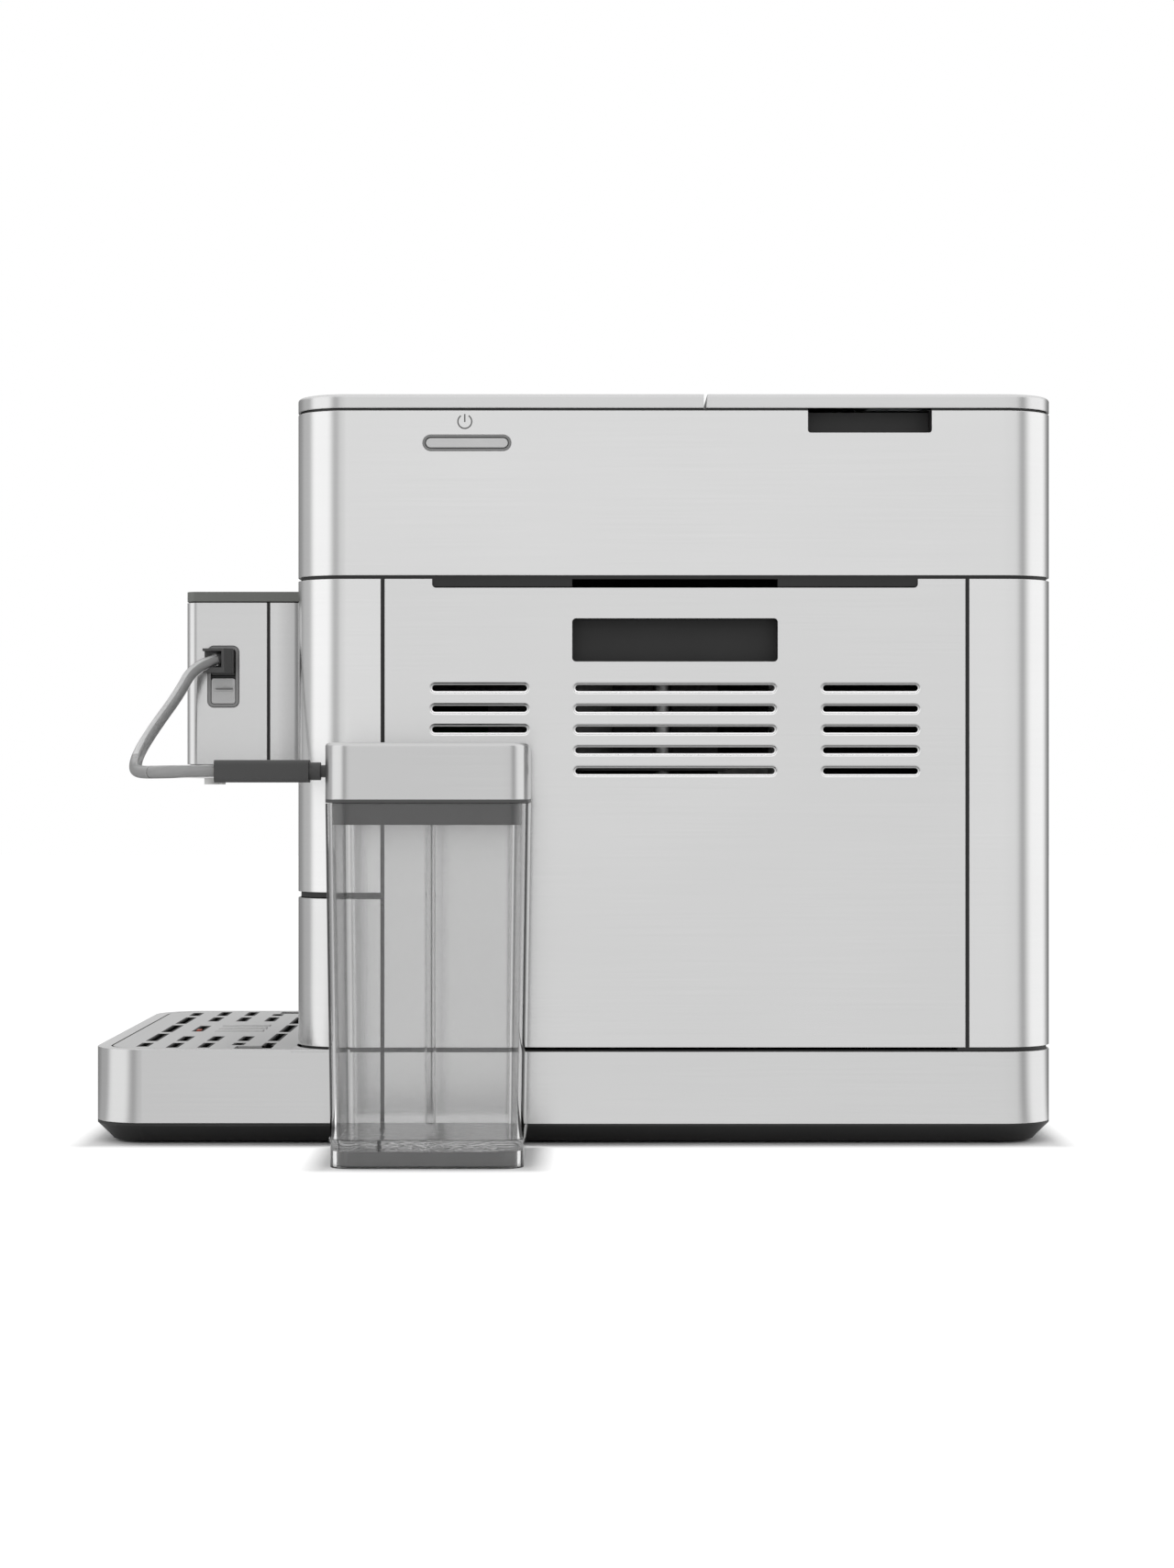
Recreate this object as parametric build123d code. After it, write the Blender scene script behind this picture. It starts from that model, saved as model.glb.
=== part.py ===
from build123d import *
import os
from math import acos, atan2, cos, degrees, pi, radians, sin, tan

# Bean-to-cup coffee machine with its milk container, as an assembly of separate pieces.
# Lengths are in millimetres. +Z is up, the front faces -Y, and +X is the side with the service door.
# The origin is on the worktop, at the middle of the machine's footprint.

# Overall sizes of the machine
body_width = 262.0
body_depth = 397.0
tray_reach = 106.0
corner_radius = 27.0

# Heights that stack up from the worktop
foot_height = 1.5
base_height = 9.7
skirt_height = 37.4
base_seam = 2.4
block_height = 77.2
block_seam = 3.3
panel_height = 243.7
mid_seam = 1.9
band_height = 85.7
lid_seam = 1.4
lid_thickness = 7.3

# Materials and fits
sheet = 1.2
moulding = 2.5
seat_gap = 0.3
slide_gap = 0.5
running_gap = 0.05
overrun = 40.0

# Side panels
wrap_depth = 45.3
panel_seam = 2.1

# Levels worked out from the heights
base_z = foot_height
skirt_z = base_z + base_height
skirt_top = skirt_z + skirt_height
panel_z = skirt_top + base_seam
block_top = panel_z + block_height
front_panel_z = block_top + block_seam
panel_top = panel_z + panel_height
band_z = panel_top + mid_seam
band_top = band_z + band_height
lid_z = band_top + lid_seam
lid_top = lid_z + lid_thickness

# Places along the machine, worked out from the overall sizes
half_width = body_width / 2
back_y = (body_depth + tray_reach) / 2
front_y = -back_y
body_front = front_y + tray_reach
wrap_y = body_front + wrap_depth
door_front = wrap_y + panel_seam
rear_wrap_y = back_y - wrap_depth
door_back = rear_wrap_y - panel_seam
door_mid = (door_front + door_back) / 2
door_half = (door_back - door_front) / 2

# Inner frame, which the outer panels clip onto
frame_inset = sheet + seat_gap
frame_wall = moulding
inner_inset = frame_inset + frame_wall
deck_thickness = 4.0
deck_top = lid_z - seat_gap
deck_z = deck_top - deck_thickness
shelf_z = front_panel_z
shelf_top = shelf_z + moulding


def block(x0, x1, y0, y1, z0, z1):
    """A box between two places on each axis."""
    centre = Pos((x0 + x1) / 2, (y0 + y1) / 2, (z0 + z1) / 2)
    return centre * Box(x1 - x0, y1 - y0, z1 - z0)


def plan(width, y0, y1, radius):
    """A rounded rectangle seen from above, centred on the machine's middle plane."""
    return Pos(0, (y0 + y1) / 2) * RectangleRounded(width, y1 - y0, radius)


def body_plan(inset):
    return plan(body_width - 2 * inset, body_front + inset, back_y - inset, corner_radius - inset)


def foot_plan(inset):
    return plan(body_width - 2 * inset, front_y + inset, back_y - inset, corner_radius - inset)


def prism(sketch, z0, z1):
    """A sketch seen from above, raised from one level to another."""
    return Pos(0, 0, z0) * extrude(sketch, z1 - z0)


def wall(plan_of, inset, thickness, z0, z1):
    """A standing wall that follows the outline, that far inside it."""
    return prism(plan_of(inset) - plan_of(inset + thickness), z0, z1)


def ahead_of(y):
    """All the space in front of a plane."""
    return block(-body_width, body_width, front_y - overrun, y, -overrun, lid_top + overrun)


def behind(y):
    """All the space behind a plane."""
    return block(-body_width, body_width, y, back_y + overrun, -overrun, lid_top + overrun)


def drum(x, y, radius, z0, z1):
    """An upright cylinder."""
    return Pos(x, y, (z0 + z1) / 2) * Cylinder(radius, z1 - z0)


def rod_x(x0, x1, y, z, radius):
    """A cylinder lying along X."""
    return Pos((x0 + x1) / 2, y, z) * Rot(0, 90, 0) * Cylinder(radius, x1 - x0)


def rod_y(x, y0, y1, z, radius):
    """A cylinder lying along Y."""
    return Pos(x, (y0 + y1) / 2, z) * Rot(90, 0, 0) * Cylinder(radius, y1 - y0)


def side_prism(shape, x0, x1):
    """A shape drawn with Y across and Z up, carried from one X to another."""
    return extrude(Plane.YZ.offset(x0) * shape, x1 - x0)


def front_prism(shape, y0, y1):
    """A shape drawn with X across and Z up, carried from one Y to another."""
    return extrude(Plane.XZ.offset(-y0) * shape, y0 - y1)


def upright_edges(solid):
    return solid.edges().filter_by(Axis.Z)


# Base pan, feet and the skirt round the back

base_chamfer = 8.5
pan_floor = 3.0
pan_rim = base_chamfer + moulding
runner_width = 8.0
runner_inset = 16.0
runner_lap = 6.0
foot_radius = 9.0
foot_socket = 1.5
foot_inset = 34.0

# Drawer opening in the front, and how far its carrier reaches back

drawer_side = 15.0
carrier_length = 187.5

drawer_half = half_width - inner_inset - drawer_side
carrier_end_y = body_front + carrier_length
runner_place = drawer_half - runner_inset
runner_end_y = carrier_end_y + runner_lap


def foot_places():
    x = half_width - foot_inset
    return [(sx * x, y) for sx in (-1, 1) for y in (front_y + foot_inset, back_y - foot_inset)]


def make_base_pan():
    pan = prism(foot_plan(0), base_z, skirt_z)
    pan = chamfer(pan.edges().group_by(Axis.Z)[0], base_chamfer)
    pocket = prism(foot_plan(pan_rim), base_z + pan_floor, skirt_z + overrun)
    for side in (-1, 1):
        runner = block(
            side * runner_place - runner_width / 2,
            side * runner_place + runner_width / 2,
            front_y,
            runner_end_y,
            base_z,
            skirt_z,
        )
        pocket -= runner
    for x, y in foot_places():
        pocket -= drum(x, y, foot_radius + moulding, base_z, skirt_z - pan_floor)
    pan -= pocket
    for x, y in foot_places():
        pan -= drum(x, y, foot_radius + running_gap, base_z - overrun, base_z + foot_socket)
    return pan


def make_base_feet():
    foot_round = foot_height / 3
    feet = []
    for x, y in foot_places():
        foot = drum(x, y, foot_radius, 0, foot_height + foot_socket)
        feet.append(chamfer(foot.edges().group_by(Axis.Z)[0], foot_round))
    return Compound(children=feet)


def make_base_skirt():
    return wall(foot_plan, 0, sheet, skirt_z, skirt_top) & behind(door_front)


# Service door opening in the right side, and the pivot ribs that carry the door

door_rebate = 4.0
liner_margin = 2.0
pivot_radius = 2.0
pivot_reach = 4.5
pivot_lug = 6.0
rib_depth = 9.0
rib_width = 5.0

opening_y0 = door_front + door_rebate
opening_y1 = door_back - door_rebate
opening_z0 = panel_z - liner_margin + slide_gap
opening_z1 = panel_top - door_rebate
liner_y0 = opening_y0 + liner_margin
liner_y1 = opening_y1 - liner_margin
liner_z0 = opening_z0 + liner_margin
liner_z1 = opening_z1 - liner_margin
pivot_x = half_width - inner_inset - pivot_radius - slide_gap
pivot_z = liner_z0 + pivot_lug / 2

bulkhead_y = door_front + seat_gap

# Rail that the dispensing head slides on, let into the front panel

rail_half = 20.0
rail_margin = 9.0
rail_flange = 9.0
rail_depth = 12.0
groove_half = 6.5
groove_depth = 8.0
rail_z0 = front_panel_z + rail_margin
rail_z1 = panel_top - rail_margin

# Finger notch under the rear lid, on the right side

notch_setback = 64.8
notch_length = 64.5
notch_height = 11.5
notch_depth = 18.0
notch_radius = 1.5
notch_wall = 2.0
notch_z = band_top - notch_height
notch_y1 = back_y - notch_setback
notch_y0 = notch_y1 - notch_length

# Mains inlet in the back

inlet_side = 46.0
inlet_rise = 50.0
inlet_flange_width = 34.0
inlet_flange_height = 27.0
inlet_body_width = 28.0
inlet_body_height = 20.5
inlet_body_depth = 24.0
inlet_wall = 1.8
inlet_floor = 5.0
pin_thickness = 2.0
pin_height = 4.0
pin_length = 15.0
pin_spread = 7.0
pin_rise = 2.0

inlet_x = -half_width + inlet_side
inlet_z = panel_z + inlet_rise

# Screws in the back panel

screw_radius = 1.5
screw_head_radius = 3.5
screw_head_height = 1.6
screw_length = 8.0
screw_side = 47.0
screw_edge = 18.0


def screw_places():
    middle = (panel_z + panel_top) / 2
    heights = (panel_z + screw_edge, middle, panel_top - screw_edge)
    return [(side * (half_width - screw_side), z) for side in (-1, 1) for z in heights]


# Openings in the shelf for the water pipes

pipe_radius = 3.0
pipe_bend = 12.0
pipe_run = 14.0
pipe_hole_margin = 6.0

# Water tank, its cradle and its outlet

tank_side_gap = 2.0
tank_depth = 92.0
tank_height = 118.0
tank_back_gap = 8.0
tank_radius = 14.0
tank_wall = 2.2
tank_flange = 5.0
tank_flange_thickness = 2.4
tank_bar_width = 16.0
outlet_radius = 10.0
outlet_length = 12.0
cradle_thickness = 4.0
cradle_cup = 18.0

tank_half = half_width - notch_depth - notch_wall - tank_flange - tank_side_gap
tank_y1 = back_y - inner_inset - tank_back_gap
tank_y0 = tank_y1 - tank_depth
tank_mid_y = (tank_y0 + tank_y1) / 2
tank_z = deck_top - tank_height
cradle_top = tank_z - seat_gap
cradle_z = cradle_top - cradle_thickness
cup_z = cradle_top - cradle_cup

# Vibration pump, flow meter and heater, with the pipes between them

pump_side_gap = 22.0
pump_length = 86.0
pump_radius = 18.0
pump_rise = 54.0
coil_length = 44.0
coil_half = 23.0
pump_leg = 10.0
spigot_length = 10.0
meter_radius = 15.0
meter_height = 18.0
heater_width = 62.0
heater_run = 50.0
heater_depth = 60.0
heater_height = 64.0
heater_leg = 6.0
heater_blade = 3.0
heater_pipe_inset = 17.0

pump_x0 = -half_width + inner_inset + pump_side_gap
pump_x1 = pump_x0 + pump_length
pump_z = base_z + pan_floor + pump_rise
pump_outlet_x = pump_x0 + spigot_length
meter_z = shelf_top + seat_gap
meter_pipe_z = meter_z + meter_height / 2
riser_x = pump_x1 + spigot_length + pipe_run
outlet_x = riser_x + pipe_run + spigot_length + meter_radius
heater_z = shelf_top + seat_gap
heater_inlet_z = heater_z + heater_leg + heater_pipe_inset
heater_outlet_z = heater_z + heater_height - heater_pipe_inset
heater_y1 = tank_mid_y - heater_run
heater_y0 = heater_y1 - heater_depth
heater_x0 = pump_outlet_x - heater_pipe_inset
heater_x1 = heater_x0 + heater_width


def shelf_openings():
    """Places in the shelf where the water pipes go through."""
    return [(riser_x, tank_mid_y), (pump_outlet_x, tank_mid_y)]


def make_inner_frame():
    frame = wall(body_plan, frame_inset, frame_wall, skirt_z, deck_z)
    frame += prism(body_plan(inner_inset), shelf_z, shelf_top)
    drawer_space = block(
        -body_width, body_width, front_y, door_front, skirt_z - overrun, block_top + slide_gap
    )
    frame -= drawer_space
    bulkhead = block(
        -half_width + inner_inset,
        half_width - inner_inset,
        bulkhead_y,
        bulkhead_y + moulding,
        skirt_z,
        shelf_z,
    )
    bulkhead -= block(
        -drawer_half, drawer_half, front_y, back_y, skirt_z - overrun, block_top + slide_gap
    )
    frame += bulkhead
    wall_x = half_width - inner_inset - sheet
    frame -= block(wall_x, half_width, opening_y0, opening_y1, opening_z0, opening_z1)
    frame -= block(wall_x, half_width, door_mid - pull_half, door_mid + pull_half, opening_z1, panel_top)
    for y0, y1 in ((opening_y0 - rib_width, opening_y0), (opening_y1, opening_y1 + rib_width)):
        rib = block(
            half_width - inner_inset - rib_depth,
            half_width - inner_inset,
            y0,
            y1,
            opening_z0 - door_rebate,
            pivot_z + 2 * pivot_lug,
        )
        frame += rib
        slot_radius = pivot_radius + seat_gap
        frame -= rod_y(pivot_x, y0, y1, pivot_z, slot_radius)
        frame -= block(
            pivot_x - slot_radius, pivot_x + slot_radius, y0, y1, pivot_z, pivot_z + 2 * pivot_lug
        )
    frame -= block(
        -rail_half, rail_half, front_y, body_front + inner_inset + seat_gap, rail_z0, rail_z1
    )
    frame -= block(
        half_width - notch_depth - notch_wall - overrun,
        half_width,
        notch_y0 - notch_wall - seat_gap,
        notch_y1 + notch_wall + seat_gap,
        notch_z - notch_wall - seat_gap,
        deck_top,
    )
    inlet_hole = Pos(inlet_x, inlet_z) * Rectangle(
        inlet_body_width + 2 * seat_gap, inlet_body_height + 2 * seat_gap
    )
    frame -= front_prism(inlet_hole, back_y - overrun, back_y)
    for x, z in screw_places():
        frame -= rod_y(x, back_y - overrun, back_y, z, screw_radius + running_gap)
    for x, y in shelf_openings():
        frame -= drum(x, y, pipe_radius + pipe_hole_margin, shelf_z - sheet, shelf_top + sheet)
    button_guide = Pos(button_y, button_z) * SlotOverall(
        button_length + 2 * slide_gap, button_height + 2 * slide_gap
    )
    return frame - side_prism(button_guide, wall_x, half_width)


# Outer panels

vent_rows = 5
vent_pitch = 10.8
vent_height = 3.2
vent_top_drop = 56.8
vent_margin = 24.7
vent_gap = 25.1
vent_side_length = 49.4
vent_relief = 0.8

vent_middle_half = door_half - vent_margin - vent_side_length - vent_gap
vent_side_centre = door_half - vent_margin - vent_side_length / 2


def vent_slots(x0, x1, relief):
    """The rows of cooling slots through a side, each slot that much larger all round."""
    slots = []
    columns = (
        (door_mid - vent_side_centre, vent_side_length),
        (door_mid, 2 * vent_middle_half),
        (door_mid + vent_side_centre, vent_side_length),
    )
    for row in range(vent_rows):
        z = panel_top - vent_top_drop - row * vent_pitch
        for y, length in columns:
            slot = SlotOverall(length + 2 * relief, vent_height + 2 * relief)
            slots.append(side_prism(Pos(y, z) * slot, x0, x1))
    return slots


def make_front_panel():
    panel = wall(body_plan, 0, sheet, front_panel_z, panel_top) & ahead_of(wrap_y)
    return panel - block(-rail_half, rail_half, front_y, body_front + sheet + sheet, rail_z0, rail_z1)


def make_left_panel():
    panel = block(-half_width, -half_width + sheet, door_front, door_back, panel_z, panel_top)
    for slot in vent_slots(-half_width - overrun, -half_width + overrun, 0):
        panel -= slot
    return panel


def make_rear_panel():
    panel = wall(body_plan, 0, sheet, panel_z, panel_top) & behind(rear_wrap_y)
    flange_hole = Pos(inlet_x, inlet_z) * Rectangle(
        inlet_flange_width + 2 * seat_gap, inlet_flange_height + 2 * seat_gap
    )
    panel -= front_prism(flange_hole, back_y - 2 * sheet, back_y + overrun)
    for x, z in screw_places():
        panel -= rod_y(x, back_y - 2 * sheet, back_y + overrun, z, screw_radius + running_gap)
    return panel


# Power button in the upper band

button_setback = 90.2
button_drop = 16.8
button_length = 42.6
button_height = 4.9
bezel_width = 1.7
bezel_proud = 0.3
button_flange = 1.0

button_y = body_front + button_setback
button_z = band_top - button_drop

# Display window in the front of the upper band

display_side = 10.0
display_drop = 12.0
display_height = 58.0
display_radius = 6.0

display_half = half_width - corner_radius - display_side
display_z = band_top - display_drop - display_height / 2


def make_upper_band():
    band = wall(body_plan, 0, sheet, band_z, band_top)
    notch = Pos((notch_y0 + notch_y1) / 2, notch_z + band_height / 2) * RectangleRounded(
        notch_length, band_height, notch_radius
    )
    band -= side_prism(notch, half_width - 2 * sheet, half_width + sheet)
    pill = Pos(button_y, button_z) * SlotOverall(
        button_length + 2 * bezel_width, button_height + 2 * bezel_width
    )
    band -= side_prism(pill, half_width - 2 * sheet, half_width + sheet)
    window = Pos(0, display_z) * RectangleRounded(2 * display_half, display_height, display_radius)
    return band - front_prism(window, body_front - sheet, body_front + 2 * sheet)


def make_power_bezel():
    outline = Pos(button_y, button_z) * SlotOverall(
        button_length + 2 * bezel_width - 2 * running_gap,
        button_height + 2 * bezel_width - 2 * running_gap,
    )
    hole = Pos(button_y, button_z) * SlotOverall(
        button_length + 2 * slide_gap, button_height + 2 * slide_gap
    )
    return side_prism(outline - hole, half_width - frame_inset + running_gap, half_width + bezel_proud)


def make_power_button():
    def pill(margin):
        return Pos(button_y, button_z) * SlotOverall(button_length + 2 * margin, button_height + 2 * margin)

    inside_x = half_width - inner_inset - seat_gap
    cap = side_prism(pill(0), inside_x, half_width + bezel_proud)
    cap = fillet(cap.faces().sort_by(Axis.X)[-1].edges(), bezel_proud / 2)
    return cap + side_prism(pill(button_flange), inside_x - button_flange, inside_x)


def make_display_glass():
    glass = Pos(0, display_z) * RectangleRounded(
        2 * (display_half - seat_gap), display_height - 2 * seat_gap, display_radius - seat_gap
    )
    return front_prism(glass, body_front, body_front + sheet)


# Top deck and the two lids

front_lid_length = 213.5
lid_gap = 1.2
lid_edge_radius = 1.6
lid_wall = 1.5
lid_bevel = 0.8

lid_gap_y = body_front + front_lid_length

# Bean hopper, over the grinder

grinder_side = 66.0
grinder_setback = 100.5
hopper_left_gap = 15.0
hopper_right_gap = 51.0
hopper_front_gap = 26.5
hopper_back_gap = 33.0
hopper_radius = 16.0
hopper_wall = 2.2
hopper_flange = 6.0
hopper_flange_thickness = 2.5
hopper_side = 34.0
hopper_mouth_radius = 17.0
mouth_round_share = 0.9
hopper_drop = 74.0
hopper_spout = 6.0

grinder_x = -half_width + inner_inset + grinder_side
grinder_y = body_front + grinder_setback
hopper_x0 = -half_width + inner_inset + hopper_left_gap
hopper_x1 = half_width - inner_inset - hopper_right_gap
hopper_y0 = body_front + inner_inset + hopper_front_gap
hopper_y1 = lid_gap_y - hopper_back_gap
hopper_funnel_z = deck_top - hopper_side
hopper_mouth_z = deck_top - hopper_drop
hopper_z = hopper_mouth_z - hopper_spout


def hopper_plan(inset):
    return Pos((hopper_x0 + hopper_x1) / 2, (hopper_y0 + hopper_y1) / 2) * RectangleRounded(
        hopper_x1 - hopper_x0 - 2 * inset, hopper_y1 - hopper_y0 - 2 * inset, hopper_radius - inset
    )


def mouth_plan(inset):
    half = hopper_mouth_radius - inset
    return Pos(grinder_x, grinder_y) * RectangleRounded(2 * half, 2 * half, half * mouth_round_share)


def tank_plan(inset):
    return Pos(0, tank_mid_y) * RectangleRounded(
        2 * (tank_half - inset), tank_depth - 2 * inset, tank_radius - inset
    )


def make_top_deck():
    deck = prism(body_plan(frame_inset), deck_z, deck_top)
    deck += block(
        half_width - notch_depth - notch_wall,
        half_width - frame_inset,
        notch_y0 - notch_wall,
        notch_y1 + notch_wall,
        notch_z - notch_wall,
        deck_top,
    )
    deck -= block(
        half_width - notch_depth, half_width + overrun, notch_y0, notch_y1, notch_z, deck_top + overrun
    )
    deck -= prism(hopper_plan(-slide_gap), deck_z - overrun, deck_top + overrun)
    return deck - prism(tank_plan(-slide_gap), deck_z - overrun, deck_top + overrun)


def lid_shell(keep):
    """One steel lid, hollow underneath. keep is the space that its half of the top takes."""
    top = prism(body_plan(0), lid_z, lid_top)
    top = fillet(top.edges().group_by(Axis.Z)[-1], lid_edge_radius)
    hollow = prism(body_plan(lid_wall), lid_z - overrun, lid_top - sheet)
    return (top & keep(0)) - (hollow & keep(lid_wall))


def make_front_lid():
    return lid_shell(lambda inset: ahead_of(lid_gap_y - inset))


def make_rear_lid():
    lid = lid_shell(lambda inset: behind(lid_gap_y + lid_gap + inset))
    bevel = front_edge_wedge(lid_gap_y + lid_gap, lid_bevel)
    return lid - bevel


def front_edge_wedge(y, size):
    """A wedge that leans the lid's front edge back towards the top."""
    side = Polyline((y - size, lid_top), (y + size, lid_top), (y, lid_z), (y - size, lid_z), close=True)
    return side_prism(make_face(side), -body_width, body_width)


def make_bean_hopper():
    def funnel(inset):
        top = Pos(0, 0, hopper_funnel_z) * hopper_plan(inset)
        mouth = Pos(0, 0, hopper_mouth_z) * mouth_plan(inset)
        return loft([mouth, top], ruled=True)

    flange_z = deck_top + seat_gap
    hopper = prism(hopper_plan(0), hopper_funnel_z, flange_z + hopper_flange_thickness)
    hopper += prism(hopper_plan(-hopper_flange), flange_z, flange_z + hopper_flange_thickness)
    hopper += funnel(0)
    hopper += prism(mouth_plan(0), hopper_z, hopper_mouth_z)
    hopper -= prism(hopper_plan(hopper_wall), hopper_funnel_z, deck_top + overrun)
    hopper -= funnel(hopper_wall)
    return hopper - prism(mouth_plan(hopper_wall), hopper_z - overrun, hopper_mouth_z)


def make_water_tank():
    flange_z = deck_top + seat_gap
    tank = prism(tank_plan(0), tank_z, flange_z + tank_flange_thickness)
    tank += prism(tank_plan(-tank_flange), flange_z, flange_z + tank_flange_thickness)
    tank -= prism(tank_plan(tank_wall), tank_z + tank_wall, deck_top + overrun)
    tank += block(
        -tank_bar_width / 2,
        tank_bar_width / 2,
        tank_y0 + tank_wall,
        tank_y1 - tank_wall,
        flange_z,
        flange_z + tank_flange_thickness,
    )
    tank += drum(outlet_x, tank_mid_y, outlet_radius, tank_z - outlet_length, tank_z)
    return tank - drum(outlet_x, tank_mid_y, pipe_radius, tank_z - overrun, tank_z + 2 * tank_wall)


def make_tank_cradle():
    reach = half_width - inner_inset - seat_gap
    cradle = block(
        -reach, reach, tank_y0 - tank_back_gap, back_y - inner_inset - seat_gap, cradle_z, cradle_top
    )
    corners = upright_edges(cradle).group_by(Axis.Y)[-1]
    cradle = fillet(corners, corner_radius - inner_inset)
    cup_radius = outlet_radius + moulding + running_gap
    cradle += drum(outlet_x, tank_mid_y, cup_radius, cup_z, cradle_z)
    cradle -= drum(
        outlet_x, tank_mid_y, outlet_radius + running_gap, tank_z - outlet_length - slide_gap, lid_top
    )
    return cradle - drum(outlet_x, tank_mid_y, pipe_radius, cup_z - overrun, cradle_top)


# Water circuit


def make_water_pump():
    pump = rod_x(pump_x0, pump_x1, tank_mid_y, pump_z, pump_radius)
    middle = (pump_x0 + pump_x1) / 2
    coil = block(
        middle - coil_length / 2,
        middle + coil_length / 2,
        tank_mid_y - coil_half,
        tank_mid_y + coil_half,
        pump_z - coil_half,
        pump_z + coil_half,
    )
    pump += coil
    for x in (middle - coil_length / 2, middle + coil_length / 2 - pump_leg):
        pump += block(
            x,
            x + pump_leg,
            tank_mid_y - coil_half,
            tank_mid_y + coil_half,
            base_z + pan_floor,
            pump_z,
        )
    pump += rod_x(pump_x1, pump_x1 + spigot_length, tank_mid_y, pump_z, pipe_radius)
    pump_top = pump_z + pump_radius
    return pump + drum(pump_outlet_x, tank_mid_y, pipe_radius, pump_z, pump_top + spigot_length)


def make_flow_meter():
    meter = drum(outlet_x, tank_mid_y, meter_radius, meter_z, meter_z + meter_height)
    meter += drum(outlet_x, tank_mid_y, pipe_radius, meter_z, meter_z + meter_height + spigot_length)
    spigot_end = outlet_x - meter_radius - spigot_length
    return meter + rod_x(spigot_end, outlet_x, tank_mid_y, meter_pipe_z, pipe_radius)


def make_thermoblock():
    top_z = heater_z + heater_height
    heater = block(heater_x0, heater_x1, heater_y0, heater_y1, heater_z + heater_leg, top_z)
    fins = int(heater_width // (3 * heater_blade))
    pitch = heater_width / fins
    for index in range(fins):
        x = heater_x0 + pitch * index + pitch / 2
        heater += block(
            x - heater_blade / 2,
            x + heater_blade / 2,
            heater_y0,
            heater_y1,
            top_z,
            top_z + 2 * heater_blade,
        )
    for x in (heater_x0, heater_x1 - heater_leg):
        heater += block(x, x + heater_leg, heater_y0, heater_y1, heater_z, heater_z + heater_leg)
    return heater


def pipe(points, radius):
    """A water pipe through the points, with the same bend at each corner."""
    path = FilletPolyline(*points, radius=pipe_bend)
    start = Plane(origin=path @ 0, z_dir=path % 0)
    return sweep(start * Circle(radius), path=path)


# Brew unit

brew_side_gap = 12.0
brew_width = 94.0
brew_centre = 48.0
brew_setback = 143.5
brew_plate = 4.5
brew_depth0 = 46.0
brew_depth1 = 82.0
brew_top_rise = 126.0
chamber_rise = 61.0
chamber_radius = 23.0
piston_radius = 19.0
piston_height = 10.0
piston_rod_radius = 7.0
upper_piston_reach = 8.0
upper_piston_lap = 4.0
arm_height = 10.0
arm_rise = 12.0
screw_offset = 50.0
drive_radius = 5.0
nut_radius = 10.0
brew_motor_radius = 18.0
brew_motor_height = 27.0
motor_socket = 9.0

brew_x1 = half_width - inner_inset - brew_side_gap
brew_x0 = brew_x1 - brew_width
brew_x = brew_x0 + brew_centre
brew_y = body_front + brew_setback
brew_floor_z = shelf_top + seat_gap
brew_floor_top = brew_floor_z + brew_plate
brew_top_z = shelf_top + brew_top_rise - brew_plate
chamber_z = shelf_top + chamber_rise + brew_plate
chamber_top = brew_top_z - upper_piston_reach + upper_piston_lap
piston_z = chamber_z + moulding
arm_z = brew_floor_top + arm_rise
drive_y = brew_y + screw_offset


def make_brew_frame():
    y0 = brew_y - brew_depth0
    y1 = brew_y + brew_depth1
    spine = block(brew_x0, brew_x0 + brew_plate, y0, y1, brew_floor_z, brew_top_z + brew_plate)
    frame = spine + block(brew_x0, brew_x1, y0, y1, brew_floor_z, brew_floor_top)
    middle = block(brew_x0, brew_x1, y0, y1, chamber_z - brew_plate, chamber_z)
    middle -= drum(brew_x, brew_y, piston_rod_radius + slide_gap, shelf_z, lid_z)
    middle -= drum(brew_x, drive_y, drive_radius + slide_gap, shelf_z, lid_z)
    top = block(brew_x0, brew_x1, y0, y1, brew_top_z, brew_top_z + brew_plate)
    top -= drum(brew_x, drive_y, drive_radius + running_gap, shelf_z, lid_z)
    upper_piston = drum(
        brew_x, brew_y, piston_radius - running_gap, brew_top_z - upper_piston_reach, brew_top_z
    )
    inlet = drum(brew_x, brew_y, pipe_radius, brew_top_z, brew_top_z + brew_plate + spigot_length)
    return frame + middle + top + upper_piston + inlet


def make_brew_chamber():
    chamber = drum(brew_x, brew_y, chamber_radius, chamber_z, chamber_top)
    chamber += drum(brew_x, brew_y, chamber_radius + brew_plate, chamber_z, chamber_z + brew_plate)
    return chamber - drum(brew_x, brew_y, piston_radius, chamber_z - overrun, lid_z)


def make_lower_piston():
    piston = drum(brew_x, brew_y, piston_radius - running_gap, piston_z, piston_z + piston_height)
    piston += drum(brew_x, brew_y, piston_rod_radius, arm_z, piston_z)
    arm = block(
        brew_x - piston_rod_radius,
        brew_x + piston_rod_radius,
        brew_y,
        drive_y,
        arm_z,
        arm_z + arm_height,
    )
    piston += arm
    piston += drum(brew_x, drive_y, nut_radius, arm_z, arm_z + arm_height)
    return piston - drum(brew_x, drive_y, drive_radius + running_gap, shelf_z, lid_z)


def make_drive_screw():
    motor_z = brew_top_z + brew_plate + seat_gap
    screw = drum(
        brew_x, drive_y, drive_radius, brew_floor_top + seat_gap, motor_z + motor_socket - seat_gap
    )
    collar_z = brew_top_z - seat_gap - brew_plate
    return screw + drum(brew_x, drive_y, drive_radius + moulding, collar_z, collar_z + brew_plate)


def make_brew_motor():
    motor_z = brew_top_z + brew_plate + seat_gap
    motor = drum(brew_x, drive_y, brew_motor_radius, motor_z, motor_z + brew_motor_height)
    socket_top = motor_z + motor_socket
    return motor - drum(brew_x, drive_y, drive_radius + running_gap, motor_z - overrun, socket_top)


# Grinder

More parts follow.
